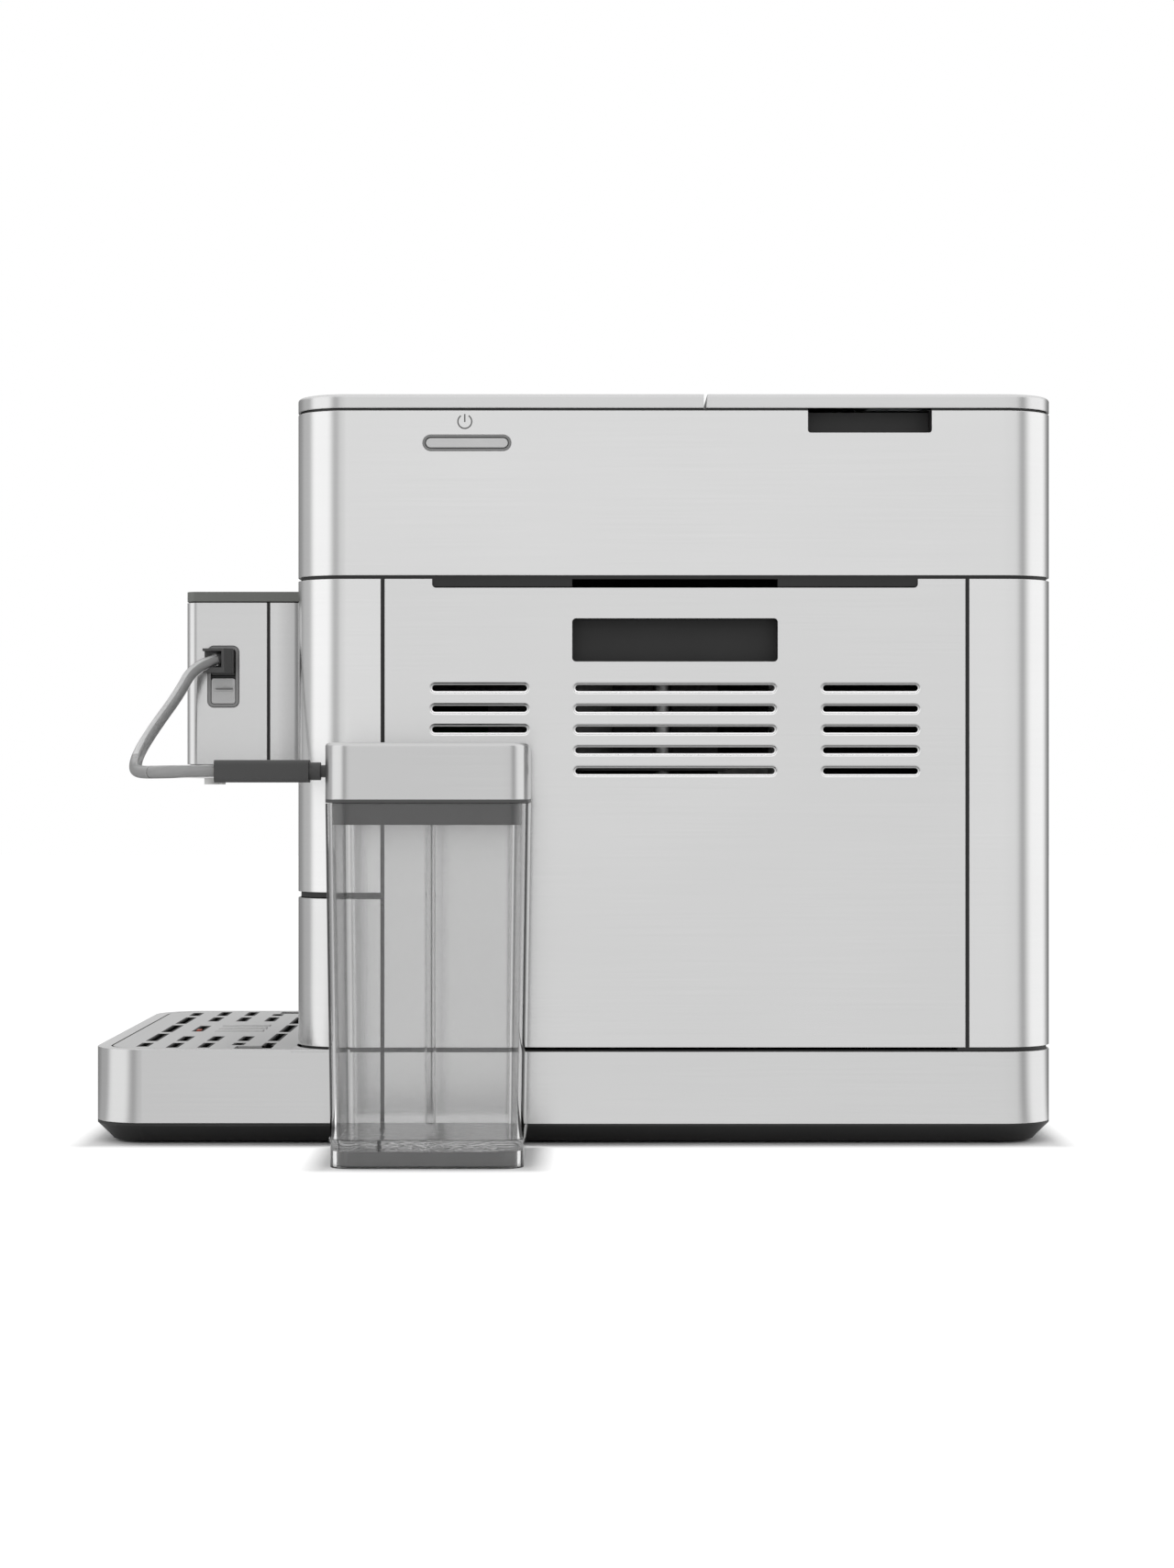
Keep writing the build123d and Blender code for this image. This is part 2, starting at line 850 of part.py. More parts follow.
gear_module = 1.2
gear_teeth = 40
pinion_teeth = 12
gear_thickness = 8.0
gear_backlash = 0.12
gear_centre_gap = 0.12
gear_tip_share = 0.9
gear_root_share = 1.2
flank_step_count = 3
pressure_angle = radians(20.0)
grinder_plate = 4.0
grinder_plate_gap = 6.0
grinder_plate_front = 53.0
grinder_plate_back = 91.0
grinder_skirt_radius = 34.0
grinder_skirt_wall = 3.5
grinder_floor = 9.0
grinder_cup_height = 37.0
burr_ring_radius = 27.0
burr_ring_height = 18.0
burr_cone_radius = 19.0
burr_tip_radius = 8.0
burr_height = 26.0
burr_gap = 0.8
burr_flutes = 10
shaft_radius = 4.0
motor_radius = 21.0
motor_height = 60.0
motor_shaft_radius = 2.5
chute_height = 11.0
chute_half = 9.0

grinder_stack = grinder_plate + 2 * moulding + gear_thickness + grinder_floor + grinder_cup_height
grinder_plate_z = hopper_z - seat_gap - grinder_stack
gear_z = grinder_plate_z + grinder_plate + moulding
gear_top = gear_z + gear_thickness
grinder_floor_z = gear_top + moulding
grinder_cup_z = grinder_floor_z + grinder_floor
grinder_top = grinder_cup_z + grinder_cup_height
gear_centres = gear_module * (gear_teeth + pinion_teeth) / 2 + gear_centre_gap
pinion_y = grinder_y + gear_centres
burr_z = grinder_cup_z + moulding
burr_ring_z = burr_z + burr_height - burr_ring_height


def involute(angle):
    return tan(angle) - angle


def gear(teeth, turn, z0, z1):
    """A spur gear with involute flanks, turned by part of a tooth, standing at the origin."""
    pitch = gear_module * teeth / 2
    base = pitch * cos(pressure_angle)
    tip = pitch + gear_module * gear_tip_share
    root = pitch - gear_module * gear_root_share
    half_tooth = pi / (2 * teeth) - gear_backlash / (2 * pitch)
    flank = []
    start = max(base, root)
    for step in range(flank_step_count + 1):
        radius = start + (tip - start) * step / flank_step_count
        angle = half_tooth + involute(pressure_angle) - involute(acos(min(1, base / radius)))
        flank.append((radius, angle))
    points = []
    for tooth in range(teeth):
        middle = 2 * pi * tooth / teeth + turn
        outline = [(root, -flank[0][1])]
        outline += [(radius, -angle) for radius, angle in flank]
        outline += [(radius, angle) for radius, angle in reversed(flank)]
        outline.append((root, flank[0][1]))
        if start == root:
            outline = outline[1:-1]
        points += [(r * cos(middle + a), r * sin(middle + a)) for r, a in outline]
    return prism(make_face(Polyline(*points, close=True)), z0, z1)


def make_burr_gear():
    wheel = Pos(grinder_x, grinder_y) * gear(gear_teeth, 0, gear_z, gear_top)
    return wheel - drum(grinder_x, grinder_y, shaft_radius + running_gap, gear_z - overrun, lid_z)


def make_motor_pinion():
    wheel = gear(pinion_teeth, pi / pinion_teeth, gear_z, gear_top)
    shaft = drum(0, 0, motor_shaft_radius, grinder_plate_z - motor_height / 2, gear_top)
    return Pos(grinder_x, pinion_y) * (wheel + shaft)


def make_lower_burr():
    cone = Pos(grinder_x, grinder_y, burr_z + burr_height / 2) * Cone(
        burr_cone_radius, burr_tip_radius, burr_height
    )
    flute_radius = (burr_cone_radius - burr_tip_radius) / 4
    lean = -(burr_cone_radius - burr_tip_radius) / burr_height
    for index in range(burr_flutes):
        flute = Pos(burr_cone_radius + flute_radius / 2) * Rot(0, 180 / pi * lean, 0)
        flute *= Cylinder(flute_radius, 3 * burr_height)
        cone -= Pos(grinder_x, grinder_y, burr_z) * Rot(0, 0, 360 * index / burr_flutes) * flute
    return cone + drum(
        grinder_x, grinder_y, shaft_radius, grinder_plate_z + grinder_plate + seat_gap, burr_z
    )


def make_upper_burr():
    ring = drum(grinder_x, grinder_y, burr_ring_radius, burr_ring_z, burr_ring_z + burr_ring_height)
    lean_share = burr_ring_height / burr_height
    top_radius = burr_tip_radius + burr_gap
    low_radius = top_radius + (burr_cone_radius - burr_tip_radius) * lean_share
    bore = Cone(low_radius, top_radius, burr_ring_height)
    return ring - Pos(grinder_x, grinder_y, burr_ring_z + burr_ring_height / 2) * bore


def make_grinder_housing():
    reach = half_width - inner_inset - seat_gap
    plate_top = grinder_plate_z + grinder_plate
    housing = block(
        -reach,
        brew_x0 - grinder_plate_gap,
        grinder_y - grinder_plate_front,
        grinder_y + grinder_plate_back,
        grinder_plate_z,
        plate_top,
    )
    housing += drum(grinder_x, grinder_y, grinder_skirt_radius, plate_top, grinder_top)
    inside = grinder_skirt_radius - grinder_skirt_wall
    housing -= drum(grinder_x, grinder_y, inside, plate_top, grinder_floor_z)
    housing -= drum(grinder_x, grinder_y, burr_ring_radius + running_gap, grinder_cup_z, lid_z)
    housing -= drum(grinder_x, grinder_y, shaft_radius + running_gap, gear_z, grinder_cup_z)
    pinion_tip = gear_module * (pinion_teeth / 2 + 1) + slide_gap
    housing -= drum(grinder_x, pinion_y, pinion_tip, plate_top, grinder_floor_z)
    shaft_hole = motor_shaft_radius + slide_gap
    housing -= drum(grinder_x, pinion_y, shaft_hole, grinder_plate_z - moulding, plate_top)
    chute = block(
        grinder_x,
        brew_x0 - seat_gap,
        grinder_y - chute_half,
        grinder_y + chute_half,
        grinder_cup_z - moulding,
        grinder_cup_z + chute_height,
    )
    chute -= drum(grinder_x, grinder_y, inside, grinder_plate_z, lid_z)
    channel = block(
        grinder_x,
        brew_x0 + overrun,
        grinder_y - chute_half + moulding,
        grinder_y + chute_half - moulding,
        grinder_cup_z,
        grinder_cup_z + chute_height - moulding,
    )
    return housing + chute - channel


def make_grinder_motor():
    top = grinder_plate_z - seat_gap
    motor = drum(grinder_x, pinion_y, motor_radius, top - motor_height, top)
    motor = chamfer(motor.edges().group_by(Axis.Z)[0], moulding)
    shaft_end = grinder_plate_z - motor_height / 2 - seat_gap
    return motor - drum(grinder_x, pinion_y, motor_shaft_radius + running_gap, shaft_end, lid_z)


def make_water_hoses():
    radius = pipe_radius
    tank_drop = drum(outlet_x, tank_mid_y, radius, meter_z + meter_height + spigot_length, cup_z)
    meter_end = outlet_x - meter_radius - spigot_length
    to_pump = pipe(
        [
            (meter_end, tank_mid_y, meter_pipe_z),
            (riser_x, tank_mid_y, meter_pipe_z),
            (riser_x, tank_mid_y, pump_z),
            (pump_x1 + spigot_length, tank_mid_y, pump_z),
        ],
        radius,
    )
    to_heater = pipe(
        [
            (pump_outlet_x, tank_mid_y, pump_z + pump_radius + spigot_length),
            (pump_outlet_x, tank_mid_y, heater_inlet_z),
            (pump_outlet_x, heater_y1, heater_inlet_z),
        ],
        radius,
    )
    heater_mid_y = (heater_y0 + heater_y1) / 2
    turn_x = (heater_x1 + brew_x0) / 2
    brew_inlet_z = brew_top_z + brew_plate + spigot_length
    hose_top = brew_inlet_z + 2 * spigot_length
    to_brew = pipe(
        [
            (heater_x1, heater_mid_y, heater_outlet_z),
            (turn_x, heater_mid_y, heater_outlet_z),
            (turn_x, heater_mid_y, hose_top),
            (brew_x, brew_y, hose_top),
            (brew_x, brew_y, brew_inlet_z),
        ],
        radius,
    )
    return Compound(children=[tank_drop, to_pump, to_heater, to_brew])


# Control board on the left wall

board_setback = 53.5
board_length = 100.0
board_rise = 12.0
board_top_gap = 8.0
board_thickness = 1.6
standoff = 6.0
standoff_radius = 3.0
part_share = 0.2

board_y0 = body_front + board_setback
board_z0 = shelf_top + board_rise
board_z1 = grinder_plate_z - board_top_gap


def make_control_board():
    x0 = -half_width + inner_inset + standoff
    x1 = x0 + board_thickness
    y1 = board_y0 + board_length
    board = block(x0, x1, board_y0, y1, board_z0, board_z1)
    for y in (board_y0 + standoff, y1 - standoff):
        for z in (board_z0 + standoff, board_z1 - standoff):
            board += rod_x(-half_width + inner_inset + seat_gap, x0, y, z, standoff_radius)
    relay = board_length * part_share
    for index in range(3):
        y = board_y0 + standoff + index * (relay + standoff)
        board += block(x1, x1 + relay / 2, y, y + relay, board_z0 + 2 * standoff, board_z0 + relay + standoff)
    return board + block(
        x1, x1 + standoff, board_y0 + relay, y1 - relay, board_z1 - 4 * standoff, board_z1 - 3 * standoff
    )


# Mains inlet and screws


def make_mains_inlet():
    seat_y = back_y - frame_inset
    flange = Pos(inlet_x, inlet_z) * Rectangle(inlet_flange_width, inlet_flange_height)
    inlet = front_prism(flange, seat_y + running_gap, back_y)
    shell = Pos(inlet_x, inlet_z) * Rectangle(inlet_body_width, inlet_body_height)
    inlet += front_prism(shell, back_y - inlet_body_depth, seat_y + running_gap)
    hollow = Pos(inlet_x, inlet_z) * RectangleRounded(
        inlet_body_width - 2 * inlet_wall, inlet_body_height - 2 * inlet_wall, inlet_wall
    )
    floor_y = back_y - inlet_body_depth + inlet_floor
    inlet -= front_prism(hollow, floor_y, back_y + overrun)
    for x, z in ((-pin_spread, -pin_rise), (0, pin_rise), (pin_spread, -pin_rise)):
        pin = Pos(inlet_x + x, inlet_z + z) * Rectangle(pin_thickness, pin_height)
        inlet += front_prism(pin, floor_y, floor_y + pin_length)
    return inlet


def make_panel_screws():
    screws = []
    for x, z in screw_places():
        screw = rod_y(x, back_y, back_y + screw_head_height, z, screw_head_radius)
        screw = chamfer(screw.edges().group_by(Axis.Y)[-1], screw_head_height / 2)
        screws.append(screw + rod_y(x, back_y - screw_length, back_y, z, screw_radius))
    return Compound(children=screws)


# Service door, tilting out on pins at its lower edge

top_gap_height = 4.6
top_gap_radius = 2.0
pull_overhang = 1.6
pull_height = 22.5
pull_drop = 20.5
pull_radius = 2.0
pull_depth = 13.0
pull_wall = 1.6

top_gap_half = door_half - vent_margin
pull_half = vent_middle_half + pull_overhang
pull_z1 = panel_top - pull_drop
pull_z0 = pull_z1 - pull_height
liner_x0 = half_width - sheet - moulding


def pull_shape(margin):
    return Pos(door_mid, (pull_z0 + pull_z1) / 2) * RectangleRounded(
        2 * (pull_half + margin), pull_height + 2 * margin, pull_radius + margin
    )


def make_service_door():
    door = block(half_width - sheet, half_width, door_front, door_back, panel_z, panel_top)
    gap = Pos(door_mid, panel_top) * RectangleRounded(
        2 * top_gap_half, 2 * top_gap_height, top_gap_radius
    )
    door -= side_prism(gap, half_width - 2 * sheet, half_width + sheet)
    door -= side_prism(pull_shape(0), half_width - 2 * sheet, half_width + sheet)
    for slot in vent_slots(half_width - 2 * sheet, half_width + sheet, 0):
        door -= slot
    return door


def make_door_liner():
    liner = block(liner_x0, half_width - sheet, liner_y0, liner_y1, liner_z0, liner_z1)
    liner += side_prism(pull_shape(pull_wall), half_width - pull_depth - pull_wall, half_width - sheet)
    liner -= side_prism(pull_shape(0), half_width - pull_depth, half_width + sheet)
    for slot in vent_slots(half_width - pull_depth, half_width + sheet, vent_relief):
        liner -= slot
    for y0, y1, end in (
        (liner_y0, liner_y0 + 2 * pivot_lug, liner_y0 - pivot_reach - liner_margin),
        (liner_y1 - 2 * pivot_lug, liner_y1, liner_y1 + pivot_reach + liner_margin),
    ):
        liner += block(pivot_x - pivot_lug / 2, liner_x0, y0, y1, liner_z0, liner_z0 + pivot_lug)
        liner += rod_y(pivot_x, min(y0, end), max(y1, end), pivot_z, pivot_radius)
    return liner


# Dispensing head, which slides up and down on its rail

head_half = 50.0
head_reach = 67.0
head_back_depth = 22.7
head_seam = 1.8
head_gap = 0.6
head_radius = 6.0
head_rear_radius = 8.0
head_top_drop = 1.4
cap_height = 5.3
cap_seam = 0.7
head_height = 88.5
head_wall = 3.0
spout_seam = 2.8
spout_plate_height = 4.7
nozzle_length = 3.5
nozzle_radius = 4.2
nozzle_bore = 2.2
nozzle_spread = 14.0
nozzle_setback = 9.5
tongue_height = 34.0
tongue_drop = 6.0
head_travel = 55.0

head_front = body_front - head_reach
head_seam_y = body_front - head_back_depth
head_back_y = body_front - head_gap
cap_top = panel_top - head_top_drop
cap_z = cap_top - cap_height
head_top = cap_z - cap_seam
head_bottom = head_top - head_height
spout_plate_top = head_bottom - spout_seam
spout_plate_z = spout_plate_top - spout_plate_height
nozzle_z = spout_plate_z - nozzle_length

# Milk port in the right side of the head

port_setback = 20.4
port_length = 17.4
port_height = 33.8
port_drop = 23.6
port_radius = 3.5
port_frame = 1.9
port_proud = 0.4
port_depth = 8.0
port_split_share = 0.52
tab_proud = 0.2
tab_travel = 1.5

port_y = head_front + port_setback
port_z1 = head_top - port_drop
port_z0 = port_z1 - port_height
port_mid_z = (port_z0 + port_z1) / 2
port_split_z = port_z1 - port_height * port_split_share


def head_plan(inset, y1):
    """The head's outline from above, back to y1, with rounded front corners."""
    y0 = head_front + inset
    radius = head_radius - inset
    outline = block(-head_half + inset, head_half - inset, y0, y1, 0, sheet)
    outline = fillet(upright_edges(outline).group_by(Axis.Y)[0], radius)
    return outline.faces().sort_by(Axis.Z)[0]


def head_prism(inset, y1, z0, z1):
    face = head_plan(inset, y1)
    return Pos(0, 0, z0) * extrude(face, z1 - z0, dir=(0, 0, 1))


def port_outline(inset):
    return Pos(port_y, port_mid_z) * RectangleRounded(
        port_length - 2 * inset, port_height - 2 * inset, port_radius - inset
    )


def make_head_shell():
    shell = head_prism(0, head_seam_y, head_bottom, head_top)
    shell -= head_prism(sheet, head_seam_y + overrun, head_bottom - overrun, head_top + overrun)
    return shell - side_prism(port_outline(0), head_half - 2 * sheet, head_half + sheet)


def make_head_body():
    inset = sheet + seat_gap
    body = head_prism(inset, head_seam_y + head_seam - seat_gap, spout_plate_top + seat_gap, cap_z - seat_gap)
    pocket_x = head_half - 2 * port_depth
    body -= block(
        -head_half + inset + head_wall,
        pocket_x - head_wall,
        head_front + inset + head_wall,
        head_back_y,
        spout_plate_top + seat_gap + head_wall,
        cap_z - seat_gap - head_wall,
    )
    body -= block(
        pocket_x,
        head_half,
        port_y - port_length / 2 - seat_gap,
        port_y + port_length / 2 + seat_gap,
        port_z0 - seat_gap,
        port_z1 + seat_gap,
    )
    return body


def make_head_back():
    y0 = head_seam_y + head_seam
    back = block(-head_half, head_half, y0, head_back_y, head_bottom, head_top)
    back = fillet(upright_edges(back).group_by(Axis.Y)[-1], head_rear_radius)
    hollow = block(
        -head_half + head_wall,
        head_half - head_wall,
        y0 - head_seam,
        head_back_y - head_wall,
        head_bottom + head_wall,
        head_top - head_wall,
    )
    back -= fillet(upright_edges(hollow).group_by(Axis.Y)[-1], head_rear_radius - head_wall)
    tongue_z1 = head_top - tongue_drop
    tongue = block(
        -groove_half + seat_gap,
        groove_half - seat_gap,
        head_back_y - head_wall,
        body_front + groove_depth - seat_gap,
        tongue_z1 - tongue_height,
        tongue_z1,
    )
    return back + tongue


def make_head_cap():
    return head_prism(0, head_back_y, cap_z, cap_top)


def make_coffee_spouts():
    spouts = head_prism(sheet, head_back_y - head_gap, spout_plate_z, spout_plate_top)
    for side in (-1, 1):
        x = side * nozzle_spread
        y = head_front + nozzle_setback
        spouts += drum(x, y, nozzle_radius, nozzle_z, spout_plate_z)
        spouts -= drum(x, y, nozzle_bore, nozzle_z - overrun, spout_plate_top - sheet)
    return spouts


def make_head_rail():
    rail = block(
        -rail_half + seat_gap,
        rail_half - seat_gap,
        body_front,
        body_front + rail_depth,
        rail_z0 + seat_gap,
        rail_z1 - seat_gap,
    )
    flange_y = body_front + inner_inset + seat_gap
    rail += block(
        -rail_half - rail_flange,
        rail_half + rail_flange,
        flange_y,
        body_front + rail_depth,
        rail_z0 + seat_gap,
        rail_z1 - seat_gap,
    )
    groove = block(
        -groove_half,
        groove_half,
        front_y,
        body_front + groove_depth,
        head_top - tongue_drop - tongue_height - head_travel - slide_gap,
        head_top - tongue_drop + slide_gap,
    )
    return rail - groove


def make_milk_port():
    frame = side_prism(port_outline(seat_gap), head_half - port_depth, head_half + port_proud)
    window = Pos(port_y, port_mid_z) * RectangleRounded(
        port_length - 2 * port_frame, port_height - 2 * port_frame, port_radius - port_frame
    )
    frame -= side_prism(window, head_half - port_depth + moulding, head_half + overrun)
    bridge = block(
        head_half - port_depth,
        head_half - tab_travel - seat_gap,
        port_y - port_length / 2 + port_frame,
        port_y + port_length / 2 - port_frame,
        port_split_z,
        port_split_z + sheet,
    )
    return frame + bridge


def make_release_tab():
    tab = Pos(port_y, (port_z0 + port_frame + port_split_z) / 2) * RectangleRounded(
        port_length - 2 * port_frame - 2 * seat_gap,
        port_split_z - port_z0 - port_frame - 2 * seat_gap,
        port_radius - port_frame - seat_gap,
    )
    tab = side_prism(tab, head_half - port_depth + moulding + tab_travel + seat_gap, head_half + tab_proud)
    ridge_z = (port_z0 + port_frame + port_split_z) / 2
    return tab + block(
        head_half,
        head_half + 2 * tab_proud + sheet / 2,
        port_y - port_length / 2 + 2 * port_frame,
        port_y + port_length / 2 - 2 * port_frame,
        ridge_z,
        ridge_z + sheet,
    )


# Elbow connector of the milk hose, in the upper half of the port

elbow_reach = 12.0
elbow_lead = 9.9
elbow_length = 16.0
elbow_drop = 1.9
elbow_height = 13.2
elbow_wall = 1.4
elbow_sill = 2.8
elbow_back = 5.7
elbow_plug_inset = 2.6
elbow_pocket = 8.8
stub_radius = 3.6
stub_reach = 3.0

elbow_y0 = port_y - elbow_lead
elbow_z1 = port_z1 - elbow_drop
elbow_z0 = elbow_z1 - elbow_height
elbow_y1 = elbow_y0 + elbow_length
elbow_x1 = head_half + elbow_reach
elbow_pocket_y1 = elbow_y1 - elbow_back
elbow_pocket_z0 = elbow_z0 + elbow_sill
elbow_pocket_z1 = elbow_z1 - elbow_wall


def make_milk_connector():
    x0 = head_half + port_proud + seat_gap
    elbow = block(x0, elbow_x1, elbow_y0, elbow_y1, elbow_z0, elbow_z1)
    outer = elbow.edges().filter_by(Axis.Z).group_by(Axis.Y)[-1].sort_by(Axis.X)[-1]
    elbow = chamfer(outer, elbow_back - elbow_wall)
    elbow -= block(
        elbow_x1 - elbow_pocket,
        elbow_x1 + overrun,
        elbow_y0 - overrun,
        elbow_pocket_y1,
        elbow_pocket_z0,
        elbow_pocket_z1,
    )
    plug = block(
        head_half - port_depth + moulding + seat_gap,
        x0,
        port_y - port_length / 2 + elbow_plug_inset,
        port_y + port_length / 2 - elbow_plug_inset,
        port_split_z + sheet + seat_gap,
        port_z1 - elbow_plug_inset,
    )
    towards_hose = (hose_route()[1] - hose_start).normalized()
    stub_length = 2 * stub_reach
    stub = Plane(origin=hose_start - towards_hose * stub_length, z_dir=towards_hose)
    stub = extrude(stub * Circle(stub_radius), stub_length)
    way_out = Plane(origin=hose_start, z_dir=towards_hose)
    way_out = extrude(way_out * Circle(hose_radius + hose_clearance), overrun)
    return elbow + plug + stub - way_out


# Front drawer: drip tray, front block and grounds container

rim_width = 7.0
plate_gap = 1.0
tray_wall = 2.0
tub_floor = 2.0
tub_gap = 0.6
carrier_floor = 2.5
container_side = 6.0
container_gap = 3.0
container_wall = 2.2
container_headroom = 2.4

plate_half = half_width - rim_width - plate_gap
tub_z = skirt_z + tub_gap
plate_z = skirt_top
plate_top = skirt_top + sheet
tub_top = plate_z - seat_gap
carrier_z = panel_z + seat_gap
container_half = drawer_half - container_side
container_top = block_top - sheet - carrier_floor - container_headroom


def make_tray_skirt():
    skirt = wall(foot_plan, 0, sheet, skirt_z + seat_gap, skirt_top) & ahead_of(wrap_y)
    rim = prism(foot_plan(0) - foot_plan(rim_width), skirt_top, plate_top)
    return skirt + (rim & ahead_of(body_front - plate_gap))


def make_drip_tub():
    inset = sheet + seat_gap
    tub = prism(foot_plan(inset), tub_z, tub_top) & ahead_of(wrap_y - slide_gap)
    cavity = prism(foot_plan(rim_width + plate_gap + tray_wall), tub_z + tub_floor, tub_top + overrun)
    cavity &= ahead_of(wrap_y - slide_gap - tray_wall)
    return tub - cavity


def make_drawer_body():
    inset = sheet + seat_gap
    top_z = block_top - sheet
    body = wall(body_plan, inset, moulding, tub_top + seat_gap, top_z) & ahead_of(wrap_y)
    floor_plate = block(
        -drawer_half + container_gap,
        drawer_half - container_gap,
        body_front + inset + moulding,
        carrier_end_y,
        carrier_z,
        carrier_z + carrier_floor,
    )
    body += floor_plate
    cover = prism(body_plan(inset), top_z - carrier_floor, top_z) & ahead_of(wrap_y)
    body += cover
    for side in (-1, 1):
        body += block(
            side * runner_place - runner_width / 4,
            side * runner_place + runner_width / 4,
            wrap_y,
            carrier_end_y,
            tub_z,
            carrier_z,
        )
    return body


def make_drawer_front():
    return wall(body_plan, 0, sheet, panel_z, block_top) & ahead_of(wrap_y)


def make_grounds_container():
    z0 = carrier_z + carrier_floor + seat_gap
    y0 = body_front + sheet + moulding + 2 * seat_gap
    outer = Pos(0, (y0 + carrier_end_y) / 2) * RectangleRounded(
        2 * container_half, carrier_end_y - y0, corner_radius - sheet - moulding
    )
    inner = offset(outer, -container_wall)
    box = prism(outer, z0, container_top)
    return box - prism(inner, z0 + container_wall, container_top + overrun)


# Grid plate over the tray, and the float that shows when the tray is full

slot_width = 3.6
row_start = 24.5
row_end = 15.9
row_count = 5
long_row_shares = ((-0.18, 0.18), (0.28, 0.64), (0.75, 0.91), (-0.64, -0.28), (-0.91, -0.75))
short_row_shares = ((0.42, 0.64), (0.75, 0.96), (-0.64, -0.42), (-0.96, -0.75))
notched_row_shares = ((0.42, 0.64), (0.75, 0.84), (-0.64, -0.42), (-0.84, -0.75))
float_slot_shares = (-0.145, 0.145)
grip_depth = 15.0
grip_setback = 74.0
grip_length = 19.5
emboss_half = 26.0
emboss_gap = 10.1
emboss_end_gap = 12.1
emboss_ribs = 3
emboss_rib = 3.4
emboss_height = 0.8
float_x = 9.5
float_stem = 7.0
float_thickness = 2.4
float_disc_radius = 15.0
float_disc_height = 7.0

row_pitch = (tray_reach - row_start - row_end) / (row_count - 1)
float_y = front_y + row_start + row_pitch
emboss_y0 = float_y + emboss_gap
emboss_y1 = front_y + row_start + (row_count - 1) * row_pitch - emboss_end_gap
grip_y0 = front_y + grip_setback


def make_drip_grid():
    plate = prism(foot_plan(rim_width + plate_gap), plate_z, plate_top) & ahead_of(body_front - plate_gap)
    rows = [
        long_row_shares,
        short_row_shares + (float_slot_shares,),
        short_row_shares,
        notched_row_shares,
        long_row_shares,
    ]
    for index, slots in enumerate(rows):
        y0 = front_y + row_start + index * row_pitch - slot_width / 2
        for start, end in slots:
            x0 = start * plate_half
            x1 = end * plate_half
            plate -= block(x0, x1, y0, y0 + slot_width, plate_z - sheet, plate_top + sheet)
    for side in (-1, 1):
        inner_x = side * (plate_half - grip_depth)
        outer_x = side * (plate_half + sheet)
        plate -= block(
            min(inner_x, outer_x),
            max(inner_x, outer_x),
            grip_y0,
            grip_y0 + grip_length,
            plate_z - sheet,
            plate_top + sheet,
        )
    for index in range(emboss_ribs):
        x = (index - (emboss_ribs - 1) / 2) * emboss_half * 2 / emboss_ribs
        rib = block(
            x - emboss_rib, x + emboss_rib, emboss_y0, emboss_y1, plate_top, plate_top + emboss_height
        )
        plate += chamfer(rib.edges().group_by(Axis.Z)[-1], emboss_height / 2)
    return plate


def make_float():
    float_z = tub_z + tub_floor + seat_gap
    disc = drum(float_x, float_y, float_disc_radius, float_z, float_z + float_disc_height)
    stem = block(
        float_x - float_stem / 2,
        float_x + float_stem / 2,
        float_y - float_thickness / 2,
        float_y + float_thickness / 2,
        float_z,
        plate_top + seat_gap,
    )
    return disc + stem


# Milk container beside the machine

jar_gap = 13.0
jar_setback = 74.0
jar_width = 83.5
jar_depth = 100.0
jar_radius = 13.0
jar_rim_z = 178.5
jar_taper = 2.4
jar_base_height = 12.5
jar_wall = 3.0
jar_bead = 1.4
rim_line = 1.6
cover_height = 27.9
cover_sheet = 1.2
cover_radius = 2.0
collar_height = 10.5
collar_wall = 2.2
collar_gap = 0.4
lid_plate = 2.5
port_axis_offset = 0.75
port_axis_drop = 13.9
port_cone_radius = 6.9
port_cone_reach = 1.6
port_bore_radius = 3.2
port_bore_depth = 14.0
tube_radius = 2.9
tube_bore = 1.9
tube_clear = 3.5

jar_x = half_width + jar_gap + jar_width / 2
jar_y = body_front + jar_setback
jar_y0 = jar_y - jar_depth / 2
port_axis_x = jar_x - port_axis_offset
cover_z = jar_rim_z + seat_gap + rim_line
cover_top = cover_z + cover_height
port_axis_z = cover_top - port_axis_drop


def jar_plan(inset):
    return Pos(jar_x, jar_y) * RectangleRounded(
        jar_width - 2 * inset, jar_depth - 2 * inset, jar_radius - inset
    )


def make_milk_jar():
    draft = -degrees(atan2(jar_taper, jar_rim_z - jar_base_height))

    def tapered(inset, z0, z1):
        return Pos(0, 0, z0) * extrude(jar_plan(inset + jar_taper), z1 - z0, taper=draft)

    jar = tapered(0, jar_base_height, jar_rim_z)
    jar += prism(jar_plan(jar_taper), 0, jar_base_height)
    jar += prism(jar_plan(jar_taper - jar_bead / 2), jar_base_height, jar_base_height + jar_bead)
    jar -= tapered(jar_wall, jar_base_height + jar_bead, jar_rim_z)
    return jar - prism(jar_plan(jar_taper + jar_wall), -overrun, jar_base_height - jar_wall - jar_bead)


